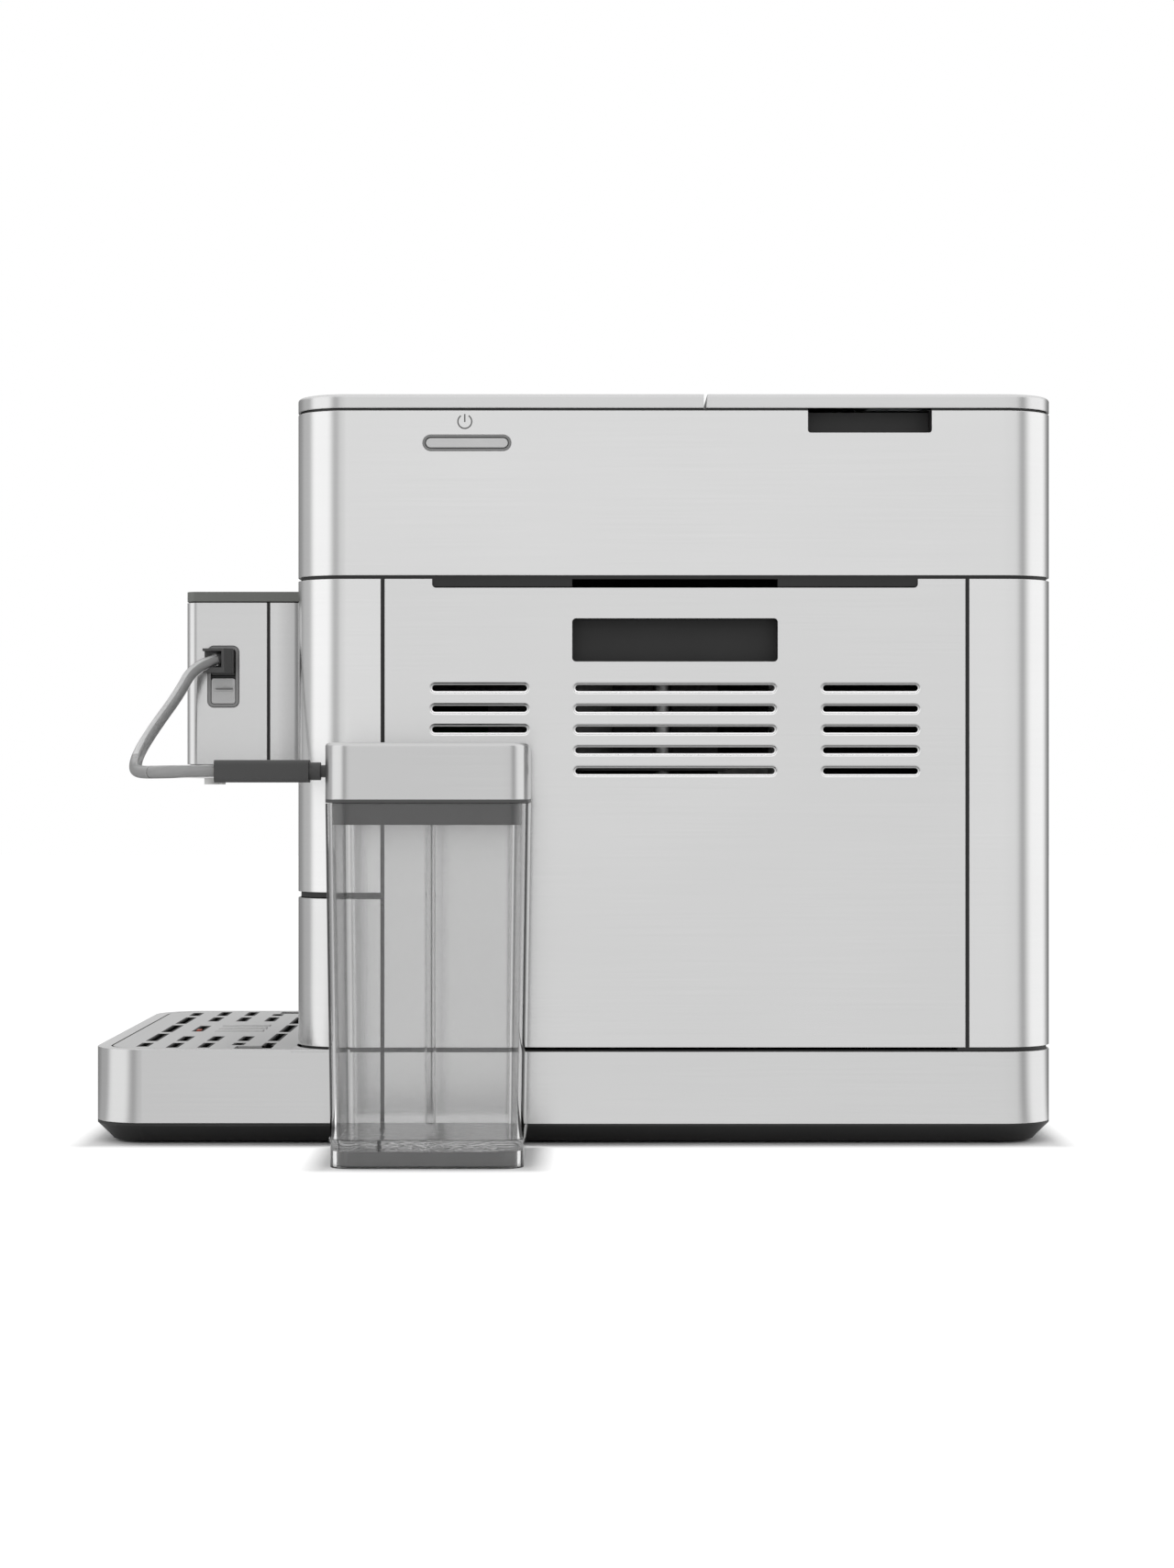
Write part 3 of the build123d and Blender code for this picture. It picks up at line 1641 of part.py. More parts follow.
def make_milk_lid_base():
    base = prism(jar_plan(0), jar_rim_z + seat_gap, cover_z)
    collar_inset = jar_wall + collar_gap
    collar_z = jar_rim_z - collar_height
    collar = prism(jar_plan(collar_inset), collar_z, jar_rim_z + seat_gap)
    collar -= prism(jar_plan(collar_inset + collar_wall), collar_z - overrun, jar_rim_z)
    base += collar
    inner = cover_sheet + seat_gap
    base += prism(jar_plan(inner), cover_z, cover_top - cover_sheet - seat_gap)
    base -= prism(jar_plan(inner + lid_plate), cover_z + lid_plate, cover_top)
    boss = rod_y(
        port_axis_x, jar_y0 + cover_sheet, jar_y0 + port_bore_depth + lid_plate, port_axis_z, port_cone_radius
    )
    base += boss
    cone = Cone(port_cone_radius, port_bore_radius + moulding, port_cone_reach)
    base += Pos(port_axis_x, jar_y0 - port_cone_reach / 2, port_axis_z) * Rot(90, 0, 0) * cone
    base += rod_y(port_axis_x, jar_y0, jar_y0 + cover_sheet, port_axis_z, port_cone_radius)
    base -= rod_y(
        port_axis_x, jar_y0 - overrun, jar_y0 + port_bore_depth, port_axis_z, port_bore_radius
    )
    return base - drum(port_axis_x, jar_y, tube_radius + running_gap, collar_z, cover_z + lid_plate + sheet)


def make_milk_lid_cover():
    cover = prism(jar_plan(0), cover_z, cover_top)
    cover = fillet(cover.edges().group_by(Axis.Z)[-1], cover_radius)
    cover -= prism(jar_plan(cover_sheet), cover_z - overrun, cover_top - cover_sheet)
    return cover - rod_y(
        port_axis_x, jar_y0 - overrun, jar_y0 + 2 * cover_sheet, port_axis_z, port_cone_radius + running_gap
    )


def make_pickup_tube():
    z0 = jar_base_height + jar_bead + tube_clear
    tube = drum(port_axis_x, jar_y, tube_radius, z0, cover_z + lid_plate)
    return tube - drum(port_axis_x, jar_y, tube_bore, z0 - overrun, lid_top)


# Hose plug on the milk container's lid

sleeve_length = 47.4
sleeve_height = 11.3
sleeve_radius = 2.2
neck_length = 5.7
neck_radius = 4.5
nipple_radius = 3.1
nipple_reach = 6.0
port_stand_off = 3.3

# Milk hose

hose_radius = 3.25
hose_bore = 2.0
hose_clearance = 0.25

neck_y1 = jar_y0 - port_cone_reach - port_stand_off
sleeve_y1 = neck_y1 - neck_length
sleeve_y0 = sleeve_y1 - sleeve_length


def make_hose_plug():
    outline = Pos(port_axis_x, port_axis_z) * RectangleRounded(sleeve_height, sleeve_height, sleeve_radius)
    plug = front_prism(outline, sleeve_y0, sleeve_y1)
    plug += rod_y(port_axis_x, sleeve_y1, neck_y1, port_axis_z, neck_radius)
    plug += rod_y(
        port_axis_x, neck_y1, jar_y0 + nipple_reach, port_axis_z, nipple_radius
    )
    plug -= rod_y(
        port_axis_x, sleeve_y0 - overrun, sleeve_y0 + hose_seat, port_axis_z, hose_radius + hose_clearance
    )
    return plug - rod_y(port_axis_x, sleeve_y0, jar_y0 + overrun, port_axis_z, nipple_radius / 2)


# The hose leaves the elbow forward and down, turns round in front, and goes back into the plug.
# Its corners are given as shares of the way from one end to the other.

hose_seat = 8.5
hose_end_run = 19.0
hose_reach = 41.5
hose_across_share = (0.07, 0.195, 0.328, 0.461, 0.617, 0.789, 0.93)
hose_forward_share = (0.326, 0.618, 0.854, 1.0, 0.921, 0.685, 0.348)
hose_down_share = (0.073, 0.325, 0.666, 0.958, 1.023, 1.006, 1.0)
upper_corner_count = 4
bend_share = 0.45

hose_start = Vector(
    elbow_x1 - elbow_pocket / 2,
    elbow_pocket_y1 - stub_reach,
    (elbow_pocket_z0 + elbow_pocket_z1) / 2,
)
hose_end = Vector(port_axis_x, sleeve_y0 + hose_seat, port_axis_z)


def hose_route():
    """The corners that the hose turns at, from the elbow on the head to the plug."""
    points = [hose_start]
    for across, forward, down in zip(hose_across_share, hose_forward_share, hose_down_share):
        x = hose_start.X + across * (hose_end.X - hose_start.X)
        y = hose_start.Y - forward * hose_reach
        z = hose_start.Z + down * (hose_end.Z - hose_start.Z)
        points.append(Vector(x, y, z))
    points.append(hose_end - Vector(0, hose_end_run, 0))
    points.append(hose_end)
    return points


def bend_radii(points):
    """The largest bend at each corner that leaves a short straight piece in every run."""
    radii = []
    for before, here, after in zip(points, points[1:], points[2:]):
        run_in = here - before
        run_out = after - here
        shorter = min(run_in.length, run_out.length)
        half_turn = radians(run_in.get_angle(run_out)) / 2
        radii.append(bend_share * shorter / tan(half_turn))
    return radii


def hose_tube(name, points, radii):
    path = FilletPolyline(*points, radius=radii)
    start = Plane(origin=path @ 0, z_dir=path % 0)
    tube = sweep(start * Circle(hose_radius), path=path)
    share = tube.volume / (pi * hose_radius**2 * path.length)
    print(name, "length", round(path.length, 1), "volume share", round(share, 4))
    print(name, "bend radii", [round(radius, 1) for radius in radii])
    bore = sweep(start * Circle(hose_bore), path=path)
    return tube - bore


def hose_halves():
    """The hose's corners and bends on each side of the seam in the middle of its front run."""
    points = hose_route()
    radii = bend_radii(points)
    seam = (points[upper_corner_count] + points[upper_corner_count + 1]) / 2
    upper = (points[: upper_corner_count + 1] + [seam], radii[:upper_corner_count])
    lower = ([seam] + points[upper_corner_count + 1 :], radii[upper_corner_count:])
    return upper, lower


def make_milk_hose_upper():
    return hose_tube("milk_hose_upper", *hose_halves()[0])


def make_milk_hose_lower():
    return hose_tube("milk_hose_lower", *hose_halves()[1])


MAKERS = {
    "base_pan": make_base_pan,
    "base_feet": make_base_feet,
    "base_skirt": make_base_skirt,
    "inner_frame": make_inner_frame,
    "front_panel": make_front_panel,
    "left_panel": make_left_panel,
    "rear_panel": make_rear_panel,
    "upper_band": make_upper_band,
    "power_bezel": make_power_bezel,
    "power_button": make_power_button,
    "display_glass": make_display_glass,
    "top_deck": make_top_deck,
    "front_lid": make_front_lid,
    "rear_lid": make_rear_lid,
    "bean_hopper": make_bean_hopper,
    "water_tank": make_water_tank,
    "tank_cradle": make_tank_cradle,
    "water_pump": make_water_pump,
    "flow_meter": make_flow_meter,
    "thermoblock": make_thermoblock,
    "water_hoses": make_water_hoses,
    "brew_frame": make_brew_frame,
    "brew_chamber": make_brew_chamber,
    "lower_piston": make_lower_piston,
    "drive_screw": make_drive_screw,
    "brew_motor": make_brew_motor,
    "grinder_housing": make_grinder_housing,
    "upper_burr": make_upper_burr,
    "lower_burr": make_lower_burr,
    "burr_gear": make_burr_gear,
    "motor_pinion": make_motor_pinion,
    "grinder_motor": make_grinder_motor,
    "control_board": make_control_board,
    "mains_inlet": make_mains_inlet,
    "panel_screws": make_panel_screws,
    "service_door": make_service_door,
    "door_liner": make_door_liner,
    "head_shell": make_head_shell,
    "head_body": make_head_body,
    "head_back": make_head_back,
    "head_cap": make_head_cap,
    "coffee_spouts": make_coffee_spouts,
    "head_rail": make_head_rail,
    "milk_port": make_milk_port,
    "release_tab": make_release_tab,
    "milk_connector": make_milk_connector,
    "tray_skirt": make_tray_skirt,
    "drip_tub": make_drip_tub,
    "drawer_body": make_drawer_body,
    "drawer_front": make_drawer_front,
    "grounds_container": make_grounds_container,
    "drip_grid": make_drip_grid,
    "float": make_float,
    "milk_jar": make_milk_jar,
    "milk_lid_base": make_milk_lid_base,
    "milk_lid_cover": make_milk_lid_cover,
    "pickup_tube": make_pickup_tube,
    "hose_plug": make_hose_plug,
    "milk_hose_upper": make_milk_hose_upper,
    "milk_hose_lower": make_milk_hose_lower,
}

os.makedirs("parts", exist_ok=True)
for name, make in MAKERS.items():
    export_step(make(), f"parts/{name}.step")
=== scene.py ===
"""Looks of the coffee machine and its milk container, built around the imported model."""

import math

import bpy
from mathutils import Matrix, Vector


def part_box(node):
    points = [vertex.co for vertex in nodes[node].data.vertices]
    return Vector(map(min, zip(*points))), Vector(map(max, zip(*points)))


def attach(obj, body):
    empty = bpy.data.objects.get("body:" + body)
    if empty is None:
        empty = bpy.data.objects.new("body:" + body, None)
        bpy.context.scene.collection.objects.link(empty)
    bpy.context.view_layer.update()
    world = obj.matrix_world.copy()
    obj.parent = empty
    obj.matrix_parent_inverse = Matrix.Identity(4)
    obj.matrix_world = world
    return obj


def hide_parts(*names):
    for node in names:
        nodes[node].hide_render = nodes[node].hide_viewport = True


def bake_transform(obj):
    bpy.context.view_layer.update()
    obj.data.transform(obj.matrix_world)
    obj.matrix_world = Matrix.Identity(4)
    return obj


MM = 0.001

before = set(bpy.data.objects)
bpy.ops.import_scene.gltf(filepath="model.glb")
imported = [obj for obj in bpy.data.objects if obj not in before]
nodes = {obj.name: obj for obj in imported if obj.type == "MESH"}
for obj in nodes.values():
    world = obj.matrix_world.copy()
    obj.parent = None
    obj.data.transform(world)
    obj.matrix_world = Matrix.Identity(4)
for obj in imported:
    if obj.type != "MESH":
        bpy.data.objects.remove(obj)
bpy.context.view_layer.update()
scene = bpy.context.scene


# Camera, at the photograph's place: level, and looking along -X

camera_place = (1.656, 0.0072, 0.188)
camera_lens = 67.3
camera_sensor = 36
camera_near = 0.01
camera_far = 100


def make_camera():
    data = bpy.data.cameras.new("camera")
    camera = bpy.data.objects.new("camera", data)
    scene.collection.objects.link(camera)
    camera.location = camera_place
    camera.rotation_euler = (math.radians(90), 0, math.radians(90))
    data.sensor_width = camera_sensor
    data.lens = camera_lens
    data.clip_start = camera_near
    data.clip_end = camera_far
    scene.camera = camera


make_camera()
scene.view_settings.view_transform = "Standard"


# Milk hose: one line from the elbow to the plug

hose_radius = 3.25 * MM
hose_bore = 2.0 * MM
hose_sides = 40
hose_steps = 24
# The side on which the bore carries a painted highlight, how far round it reaches, and above what height;
# elsewhere the bore carries painted shade
bore_light_side = Vector((0, -0.85, 0.53))
bore_light_reach = 0.3
bore_light_from = 203 * MM
hose_route = (
    (57.6, -194.7, 255.9),
    (65.1, -205.9, 252.2),
    (77.5, -212.9, 235.9),
    (93.4, -223.3, 218.3),
    (112.3, -229.1, 204.2),
    (134.5, -227.8, 196.2),
    (156.9, -222.0, 194.0),
    (175.5, -209.3, 194.0),
    (185.0, -190.0, 194.4),
    (185.0, -171.0, 194.4),
)


def hose_line():
    """The hose's centre line, as points on one smooth curve."""
    curve = bpy.data.curves.new("hose_line", "CURVE")
    curve.dimensions = "3D"
    spline = curve.splines.new("NURBS")
    spline.points.add(len(hose_route) - 1)
    for point, place in zip(spline.points, hose_route):
        point.co = (*(value * MM for value in place), 1)
    spline.order_u = 3
    spline.use_endpoint_u = True
    spline.resolution_u = hose_steps
    holder = bpy.data.objects.new("hose_line", curve)
    scene.collection.objects.link(holder)
    mesh = bpy.data.meshes.new_from_object(holder)
    points = [vertex.co.copy() for vertex in mesh.vertices]
    bpy.data.objects.remove(holder)
    return points


# Meshes

smooth_angle = math.radians(40)
# Places of the bore's painted shade and painted highlight among the hose's materials, after the wall
bore_painted_shade_slot = 1
bore_painted_highlight_slot = 2


def new_mesh(name, vertices, faces, smooth=False):
    mesh = bpy.data.meshes.new(name)
    mesh.from_pydata([tuple(v) for v in vertices], [], faces)
    mesh.update()
    if smooth:
        mesh.shade_smooth()
        mesh.set_sharp_from_angle(angle=smooth_angle)
    piece = bpy.data.objects.new(name, mesh)
    scene.collection.objects.link(piece)
    return piece


def rings_along(points, radius, sides):
    """Rings of points round a line, turned as little as the line allows."""
    rings = []
    side = Vector((0, 0, 1))
    for index, point in enumerate(points):
        before = points[max(index - 1, 0)]
        after = points[min(index + 1, len(points) - 1)]
        along = (after - before).normalized()
        side = (side - along * side.dot(along)).normalized()
        other = along.cross(side)
        ring = []
        for step in range(sides):
            angle = 2 * math.pi * step / sides
            ring.append(point + radius * (math.cos(angle) * side + math.sin(angle) * other))
        rings.append(ring)
    return rings


def hollow_tube(name, points, outer, inner, sides):
    """A tube with a bore, its two ends closed by flat rings."""
    shells = (rings_along(points, outer, sides), rings_along(points, inner, sides))
    vertices = [place for rings in shells for ring in rings for place in ring]
    inside = len(points) * sides
    last = (len(points) - 1) * sides
    faces = []
    bore_faces = []
    for step in range(sides):
        following = (step + 1) % sides
        for ring in range(len(points) - 1):
            a, b = ring * sides + step, ring * sides + following
            c, d = b + sides, a + sides
            faces.append((a, b, c, d))
            bore_faces.append((inside + d, inside + c, inside + b, inside + a))
        faces.append((following, step, inside + step, inside + following))
        faces.append((last + step, last + following, inside + last + following, inside + last + step))
    tube = new_mesh(name, vertices, faces + bore_faces, smooth=True)
    # The bore's faces get a painted highlight on one side above a height, and painted shade elsewhere
    for polygon in tube.data.polygons[len(faces) :]:
        faces_light = polygon.normal.dot(bore_light_side) < -bore_light_reach
        lit = faces_light and polygon.center.z > bore_light_from
        polygon.material_index = bore_painted_highlight_slot if lit else bore_painted_shade_slot
    return tube


def prism_faces(count, start=0):
    """The faces of a prism whose two ends are runs of count places, the first run from start."""
    faces = [
        tuple(start + index for index in reversed(range(count))),
        tuple(start + count + index for index in range(count)),
    ]
    for index in range(count):
        following = (index + 1) % count
        faces.append((start + index, start + following, start + count + following, start + count + index))
    return faces


def flat_plate(outline, low, high):
    """An upright prism over a closed run of (X, Y) places."""
    vertices = [(x, y, low) for x, y in outline] + [(x, y, high) for x, y in outline]
    return vertices, prism_faces(len(outline))


def side_strip(outlines, low, high):
    """Flat strokes standing off a surface that faces +X. Each outline is a closed run of (Y, Z) places."""
    vertices = []
    faces = []
    for outline in outlines:
        start = len(vertices)
        vertices += [(low, y, z) for y, z in outline] + [(high, y, z) for y, z in outline]
        faces += prism_faces(len(outline), start)
    return vertices, faces


def front_strip(outlines, low, high):
    """Flat strokes standing off a surface that faces -Y. Each outline is a closed run of (X, Z) places."""
    vertices, faces = side_strip(outlines, -low, -high)
    return [(across, -out, up) for out, across, up in vertices], faces


def stroke(places, width):
    """The outline of an open line of that width, its corners mitred."""
    sides = ([], [])
    for index, place in enumerate(places):
        before = places[max(index - 1, 0)]
        after = places[min(index + 1, len(places) - 1)]
        normals = []
        for start, end in ((before, place), (place, after)):
            run = Vector((end[0] - start[0], end[1] - start[1]))
            if run.length > 0:
                normals.append(Vector((-run.y, run.x)).normalized())
        mitre = sum(normals, Vector((0, 0)))
        mitre *= width / 2 / mitre.dot(normals[0])
        sides[0].append((place[0] + mitre.x, place[1] + mitre.y))
        sides[1].append((place[0] - mitre.x, place[1] - mitre.y))
    return sides[0] + sides[1][::-1]


def arc(centre, radius, start, end, steps):
    """Places on an arc, in degrees from straight up."""
    places = []
    for step in range(steps + 1):
        angle = math.radians(start + (end - start) * step / steps)
        places.append((centre[0] + radius * math.sin(angle), centre[1] + radius * math.cos(angle)))
    return places


# Small helpers for node trees

bevel_samples = 4
white_color = (1, 1, 1, 1)


class Tree:
    """A node tree that is easy to write to."""

    def __init__(self, owner):
        owner.use_nodes = True
        self.tree = owner.node_tree
        self.tree.nodes.clear()

    def add(self, kind, **values):
        node = self.tree.nodes.new(kind)
        for name, value in values.items():
            setattr(node, name, value)
        return node

    def link(self, source, target):
        self.tree.links.new(source, target)

    def put(self, socket, value):
        """Set a socket to a value, or join it to another socket."""
        if isinstance(value, bpy.types.NodeSocket):
            self.link(value, socket)
        else:
            socket.default_value = value

    def math(self, operation, first, second=None, third=None, clamp=False):
        node = self.add("ShaderNodeMath", operation=operation, use_clamp=clamp)
        for socket, value in zip(node.inputs, (first, second, third)):
            if value is not None:
                self.put(socket, value)
        return node.outputs[0]

    def vector(self, operation, first, second):
        node = self.add("ShaderNodeVectorMath", operation=operation)
        self.put(node.inputs[0], first)
        self.put(node.inputs[1], second)
        return node.outputs[0]

    def scaled(self, color, tone):
        """A colour times a number from nodes."""
        node = self.add("ShaderNodeVectorMath", operation="SCALE")
        self.put(node.inputs[0], color)
        self.put(node.inputs["Scale"], tone)
        return node.outputs[0]

    def ramp(self, factor, stops):
        node = self.add("ShaderNodeValToRGB")
        while len(node.color_ramp.elements) < len(stops):
            node.color_ramp.elements.new(0.5)
        for element, (place, value) in zip(node.color_ramp.elements, stops):
            element.position = place
            element.color = (value, value, value, 1)
        self.put(node.inputs[0], factor)
        return node.outputs[0]

    def mix(self, factor, first, second, kind="RGBA"):
        node = self.add("ShaderNodeMix", data_type=kind)
        self.put(node.inputs[0], factor)
        a, b, out = {"RGBA": (6, 7, 2), "FLOAT": (2, 3, 0)}[kind]
        self.put(node.inputs[a], first)
        self.put(node.inputs[b], second)
        return node.outputs[out]

    def noise(self, coordinates, scale, detail=2.0, roughness=0.5):
        node = self.add("ShaderNodeTexNoise")
        self.put(node.inputs["Vector"], coordinates)
        node.inputs["Scale"].default_value = scale
        node.inputs["Detail"].default_value = detail
        node.inputs["Roughness"].default_value = roughness
        return node.outputs[0]

    def away_from(self, value, middle):
        return self.math("ABSOLUTE", self.math("SUBTRACT", value, middle))

    def past(self, value, middle, half):
        """How far a value lies outside a span, given by its middle and half length."""
        return self.math("MAXIMUM", self.math("SUBTRACT", self.away_from(value, middle), half), 0.0)

    def distance(self, first, second):
        """The length of a step that goes one way by first and across it by second."""
        squares = [self.math("POWER", value, 2.0) for value in (first, second)]
        return self.math("SQRT", self.math("ADD", *squares))

    def upward(self):
        """How far the surface faces up or down."""
        return self.split(self.add("ShaderNodeNewGeometry").outputs["Normal"])["Z"]

    def broken_edge(self, radius):
        """The surface's direction, turned a little over its sharp edges."""
        node = self.add("ShaderNodeBevel", samples=bevel_samples)
        node.inputs["Radius"].default_value = radius
        return node.outputs[0]

    def background(self, color, strength):
        node = self.add("ShaderNodeBackground")
        self.put(node.inputs["Color"], color)
        node.inputs["Strength"].default_value = strength
        return node.outputs[0]

    def emission(self, color, strength):
        node = self.add("ShaderNodeEmission")
        self.put(node.inputs["Color"], color)
        node.inputs["Strength"].default_value = strength
        return node.outputs[0]

    def blend(self, factor, first, second):
        """A mix of two shaders."""
        node = self.add("ShaderNodeMixShader")
        for socket, value in zip(node.inputs, (factor, first, second)):
            self.link(value, socket)
        return node.outputs[0]

    def place(self):
        """The piece's own coordinates, in metres."""
        return self.add("ShaderNodeTexCoord").outputs["Object"]

    def split(self, vector):
        node = self.add("ShaderNodeSeparateXYZ")
        self.link(vector, node.inputs[0])
        return node.outputs

    def stretched(self, scales):
        """The piece's own coordinates, stretched along each axis."""
        return self.vector("MULTIPLY", self.place(), scales)


# World and floor

# What the steel reflects, by degrees round from +X: towards the front first, then towards the back
front_stops = (
    (0, 1.0),
    (10, 0.98),
    (17, 0.84),
    (22, 0.66),
    (27, 0.6),
    (31, 0.66),
    (36, 0.9),
    (41, 1.15),
    (46, 1.3),
    (78, 1.3),
    (84, 1.22),
    (89, 1.02),
    (95, 0.74),
    (101, 0.64),
    (119, 0.6),
    (126, 0.5),
    (134, 0.4),
    (150, 0.32),
    (165, 0.26),
    (180, 0.2),
)
back_stops = (
    (0, 1.0),
    (20, 0.97),
    (33, 0.95),
    (39, 0.84),
    (45, 0.64),
    (50, 0.52),
    (55, 0.62),
    (62, 0.92),
    (69, 1.18),
    (76, 1.27),
    (110, 1.27),
    (117, 1.16),
    (123, 0.94),
    (129, 0.66),
    (136, 0.42),
    (145, 0.3),
    (160, 0.22),
    (180, 0.2),
)

# The brightest that the graded light can get
studio_top = 1.5
# From this height share on, the light overhead takes over, up to where it is alone
overhead_start = 0.16
overhead_end = 0.6
overhead_light = 1.15
# How much brighter the light round the sides gets towards the top
rising_share = 0.2
# Light on surfaces that are neither metal nor glass
plain_light = 0.95
# Glass shows plain white from this far round
glass_backdrop = math.radians(150)


def studio_light(t, turn):
    """What lies in a direction round the upright axis, as a share of studio_top."""
    share = t.math("DIVIDE", t.math("ABSOLUTE", turn), math.pi)
    front, back = (
        t.ramp(share, [(degrees / 180, value / studio_top) for degrees, value in stops])
        for stops in (front_stops, back_stops)
    )
    return t.mix(t.math("GREATER_THAN", turn, 0.0), front, back)


def make_world():
    """White to the eye, and graded round the sides for what the metal and the glass show."""
    world = bpy.data.worlds.new("studio")
    scene.world = world
    t = Tree(world)
    parts = t.split(t.add("ShaderNodeTexCoord").outputs["Generated"])
    turn = t.math("ARCTAN2", parts["Y"], parts["X"])
    overhead = t.add("ShaderNodeMapRange", interpolation_type="SMOOTHSTEP")
    t.link(parts["Z"], overhead.inputs["Value"])
    overhead.inputs["From Min"].default_value = overhead_start
    overhead.inputs["From Max"].default_value = overhead_end
    around = t.scaled(studio_light(t, turn), t.math("MULTIPLY_ADD", parts["Z"], rising_share, 1.0))
    ceiling = overhead_light / studio_top
    graded = t.mix(overhead.outputs[0], around, (ceiling, ceiling, ceiling, 1))
    rays = t.add("ShaderNodeLightPath").outputs
    behind = t.math("GREATER_THAN", t.math("ABSOLUTE", turn), glass_backdrop)
    through = t.math("MULTIPLY", rays["Is Transmission Ray"], behind)
    seen = t.math("MAXIMUM", rays["Is Camera Ray"], through)
    shown = t.math("MAXIMUM", rays["Is Glossy Ray"], rays["Is Transmission Ray"])
    plain = t.background(white_color, plain_light)
    lit = t.blend(shown, plain, t.background(graded, studio_top))
    final = t.blend(seen, lit, t.background(white_color, 1.0))
    t.link(final, t.add("ShaderNodeOutputWorld").inputs[0])


# The middle of the skirt's rounded corner, which the light on the floor is turned about
floor_corner = (0.104, 0.2245)
# The feet of the machine and of the container on the floor: middle and half size
footprints = (((0.0, 0.0), (0.131, 0.2515)), ((0.1857, -0.0715), (0.0417, 0.05)))


floor_half = 6.0
floor_color = (0.9, 0.9, 0.9, 1)
floor_glow = 1.12
floor_glow_share = 0.85
floor_mirror = 0.95
# The shadow under the feet is whole up to the first distance, and gone after the second
contact_start = 0.5 * MM
contact_reach = 12 * MM


def beside_feet(t, place):
    """How far a place on the floor is from the nearer foot's shadow, from 0 to 1."""
    away = None
    for middle, half in footprints:
        steps = [t.past(place[axis], middle[index], half[index]) for index, axis in enumerate("XY")]
        gap = t.distance(*steps)
        away = gap if away is None else t.math("MINIMUM", away, gap)
    return t.math("DIVIDE", t.math("SUBTRACT", away, contact_start), contact_reach, clamp=True)


def mirrored_light(t, place):
    """The studio's light, turned about the nearer corner of the skirt."""
    sense = t.math("MULTIPLY_ADD", t.math("GREATER_THAN", place["Y"], 0.0), 2.0, -1.0)
    past = t.math("SUBTRACT", t.math("ABSOLUTE", place["Y"]), floor_corner[1])
    over = t.math("MULTIPLY", t.math("MAXIMUM", past, 0.0), sense)
    side = t.mix(
        t.math("GREATER_THAN", past, 0.0),
        place["X"],
        t.math("SUBTRACT", place["X"], floor_corner[0]),
        kind="FLOAT",
    )
    return studio_light(t, t.math("ARCTAN2", over, side))


def make_floor():
    corners = [(x * floor_half, y * floor_half, 0) for x, y in ((-1, -1), (1, -1), (1, 1), (-1, 1))]
    floor = new_mesh("floor", corners, [(0, 1, 2, 3)])
    material = bpy.data.materials.new("floor")
    t = Tree(material)
    rays = t.add("ShaderNodeLightPath").outputs
    seen = t.math("MAXIMUM", rays["Is Camera Ray"], rays["Is Transmission Ray"])
    place = t.split(t.place())
    clearing = beside_feet(t, place)
    diffuse = t.add("ShaderNodeBsdfDiffuse")
    diffuse.inputs["Color"].default_value = floor_color
    share = t.math("MULTIPLY", t.math("MULTIPLY", seen, floor_glow_share), clearing)
    mixed = t.blend(share, diffuse.outputs[0], t.emission(white_color, floor_glow))
    mirrored = t.emission(mirrored_light(t, place), floor_mirror * studio_top)
    final = t.blend(t.math("MULTIPLY", rays["Is Glossy Ray"], clearing), mixed, mirrored)
    t.link(final, t.add("ShaderNodeOutputMaterial").inputs[0])
    floor.data.materials.append(material)


make_world()
make_floor()


# Materials


def even(tone):
    """A grey."""
    return (tone, tone, tone)


def new_material(name):
    material = bpy.data.materials.new(name)
    return material, Tree(material)


def principled(t, color, **values):
    shader = t.add("ShaderNodeBsdfPrincipled")
    if not isinstance(color, bpy.types.NodeSocket) and len(color) == 3:
        color = (*color, 1)
    t.put(shader.inputs["Base Color"], color)
    for name, value in values.items():
        t.put(shader.inputs[name.replace("_", " ").title().replace("Ior", "IOR")], value)
    out = t.add("ShaderNodeOutputMaterial")
    t.link(shader.outputs[0], out.inputs[0])
    return shader


def bump(t, shader, height, strength, distance, under=None):
    node = t.add("ShaderNodeBump")
    node.inputs["Strength"].default_value = strength
    node.inputs["Distance"].default_value = distance
    t.link(height, node.inputs["Height"])
    if under is not None:
        t.link(under, node.inputs["Normal"])
    if shader is not None:
        t.link(node.outputs[0], shader.inputs["Normal"])
    return node.outputs[0]


# The door's slots: rows from the top, and the columns' middles and half lengths
vent_top = 237.9 * MM
vent_pitch = 10.8 * MM
vent_rows = 5
vent_half_height = 1.6 * MM
vent_columns = ((-48.7 * MM, 24.7 * MM), (53.0 * MM, 51.9 * MM), (154.7 * MM, 24.7 * MM))
vent_roll = 1.7 * MM
vent_roll_gain = 1.6
vent_roll_depth_share = 0.5
# Painted shade above each slot and painted highlight below it, as shares of the door's tone
vent_painted_shade = 0.5
vent_painted_highlight = 0.6


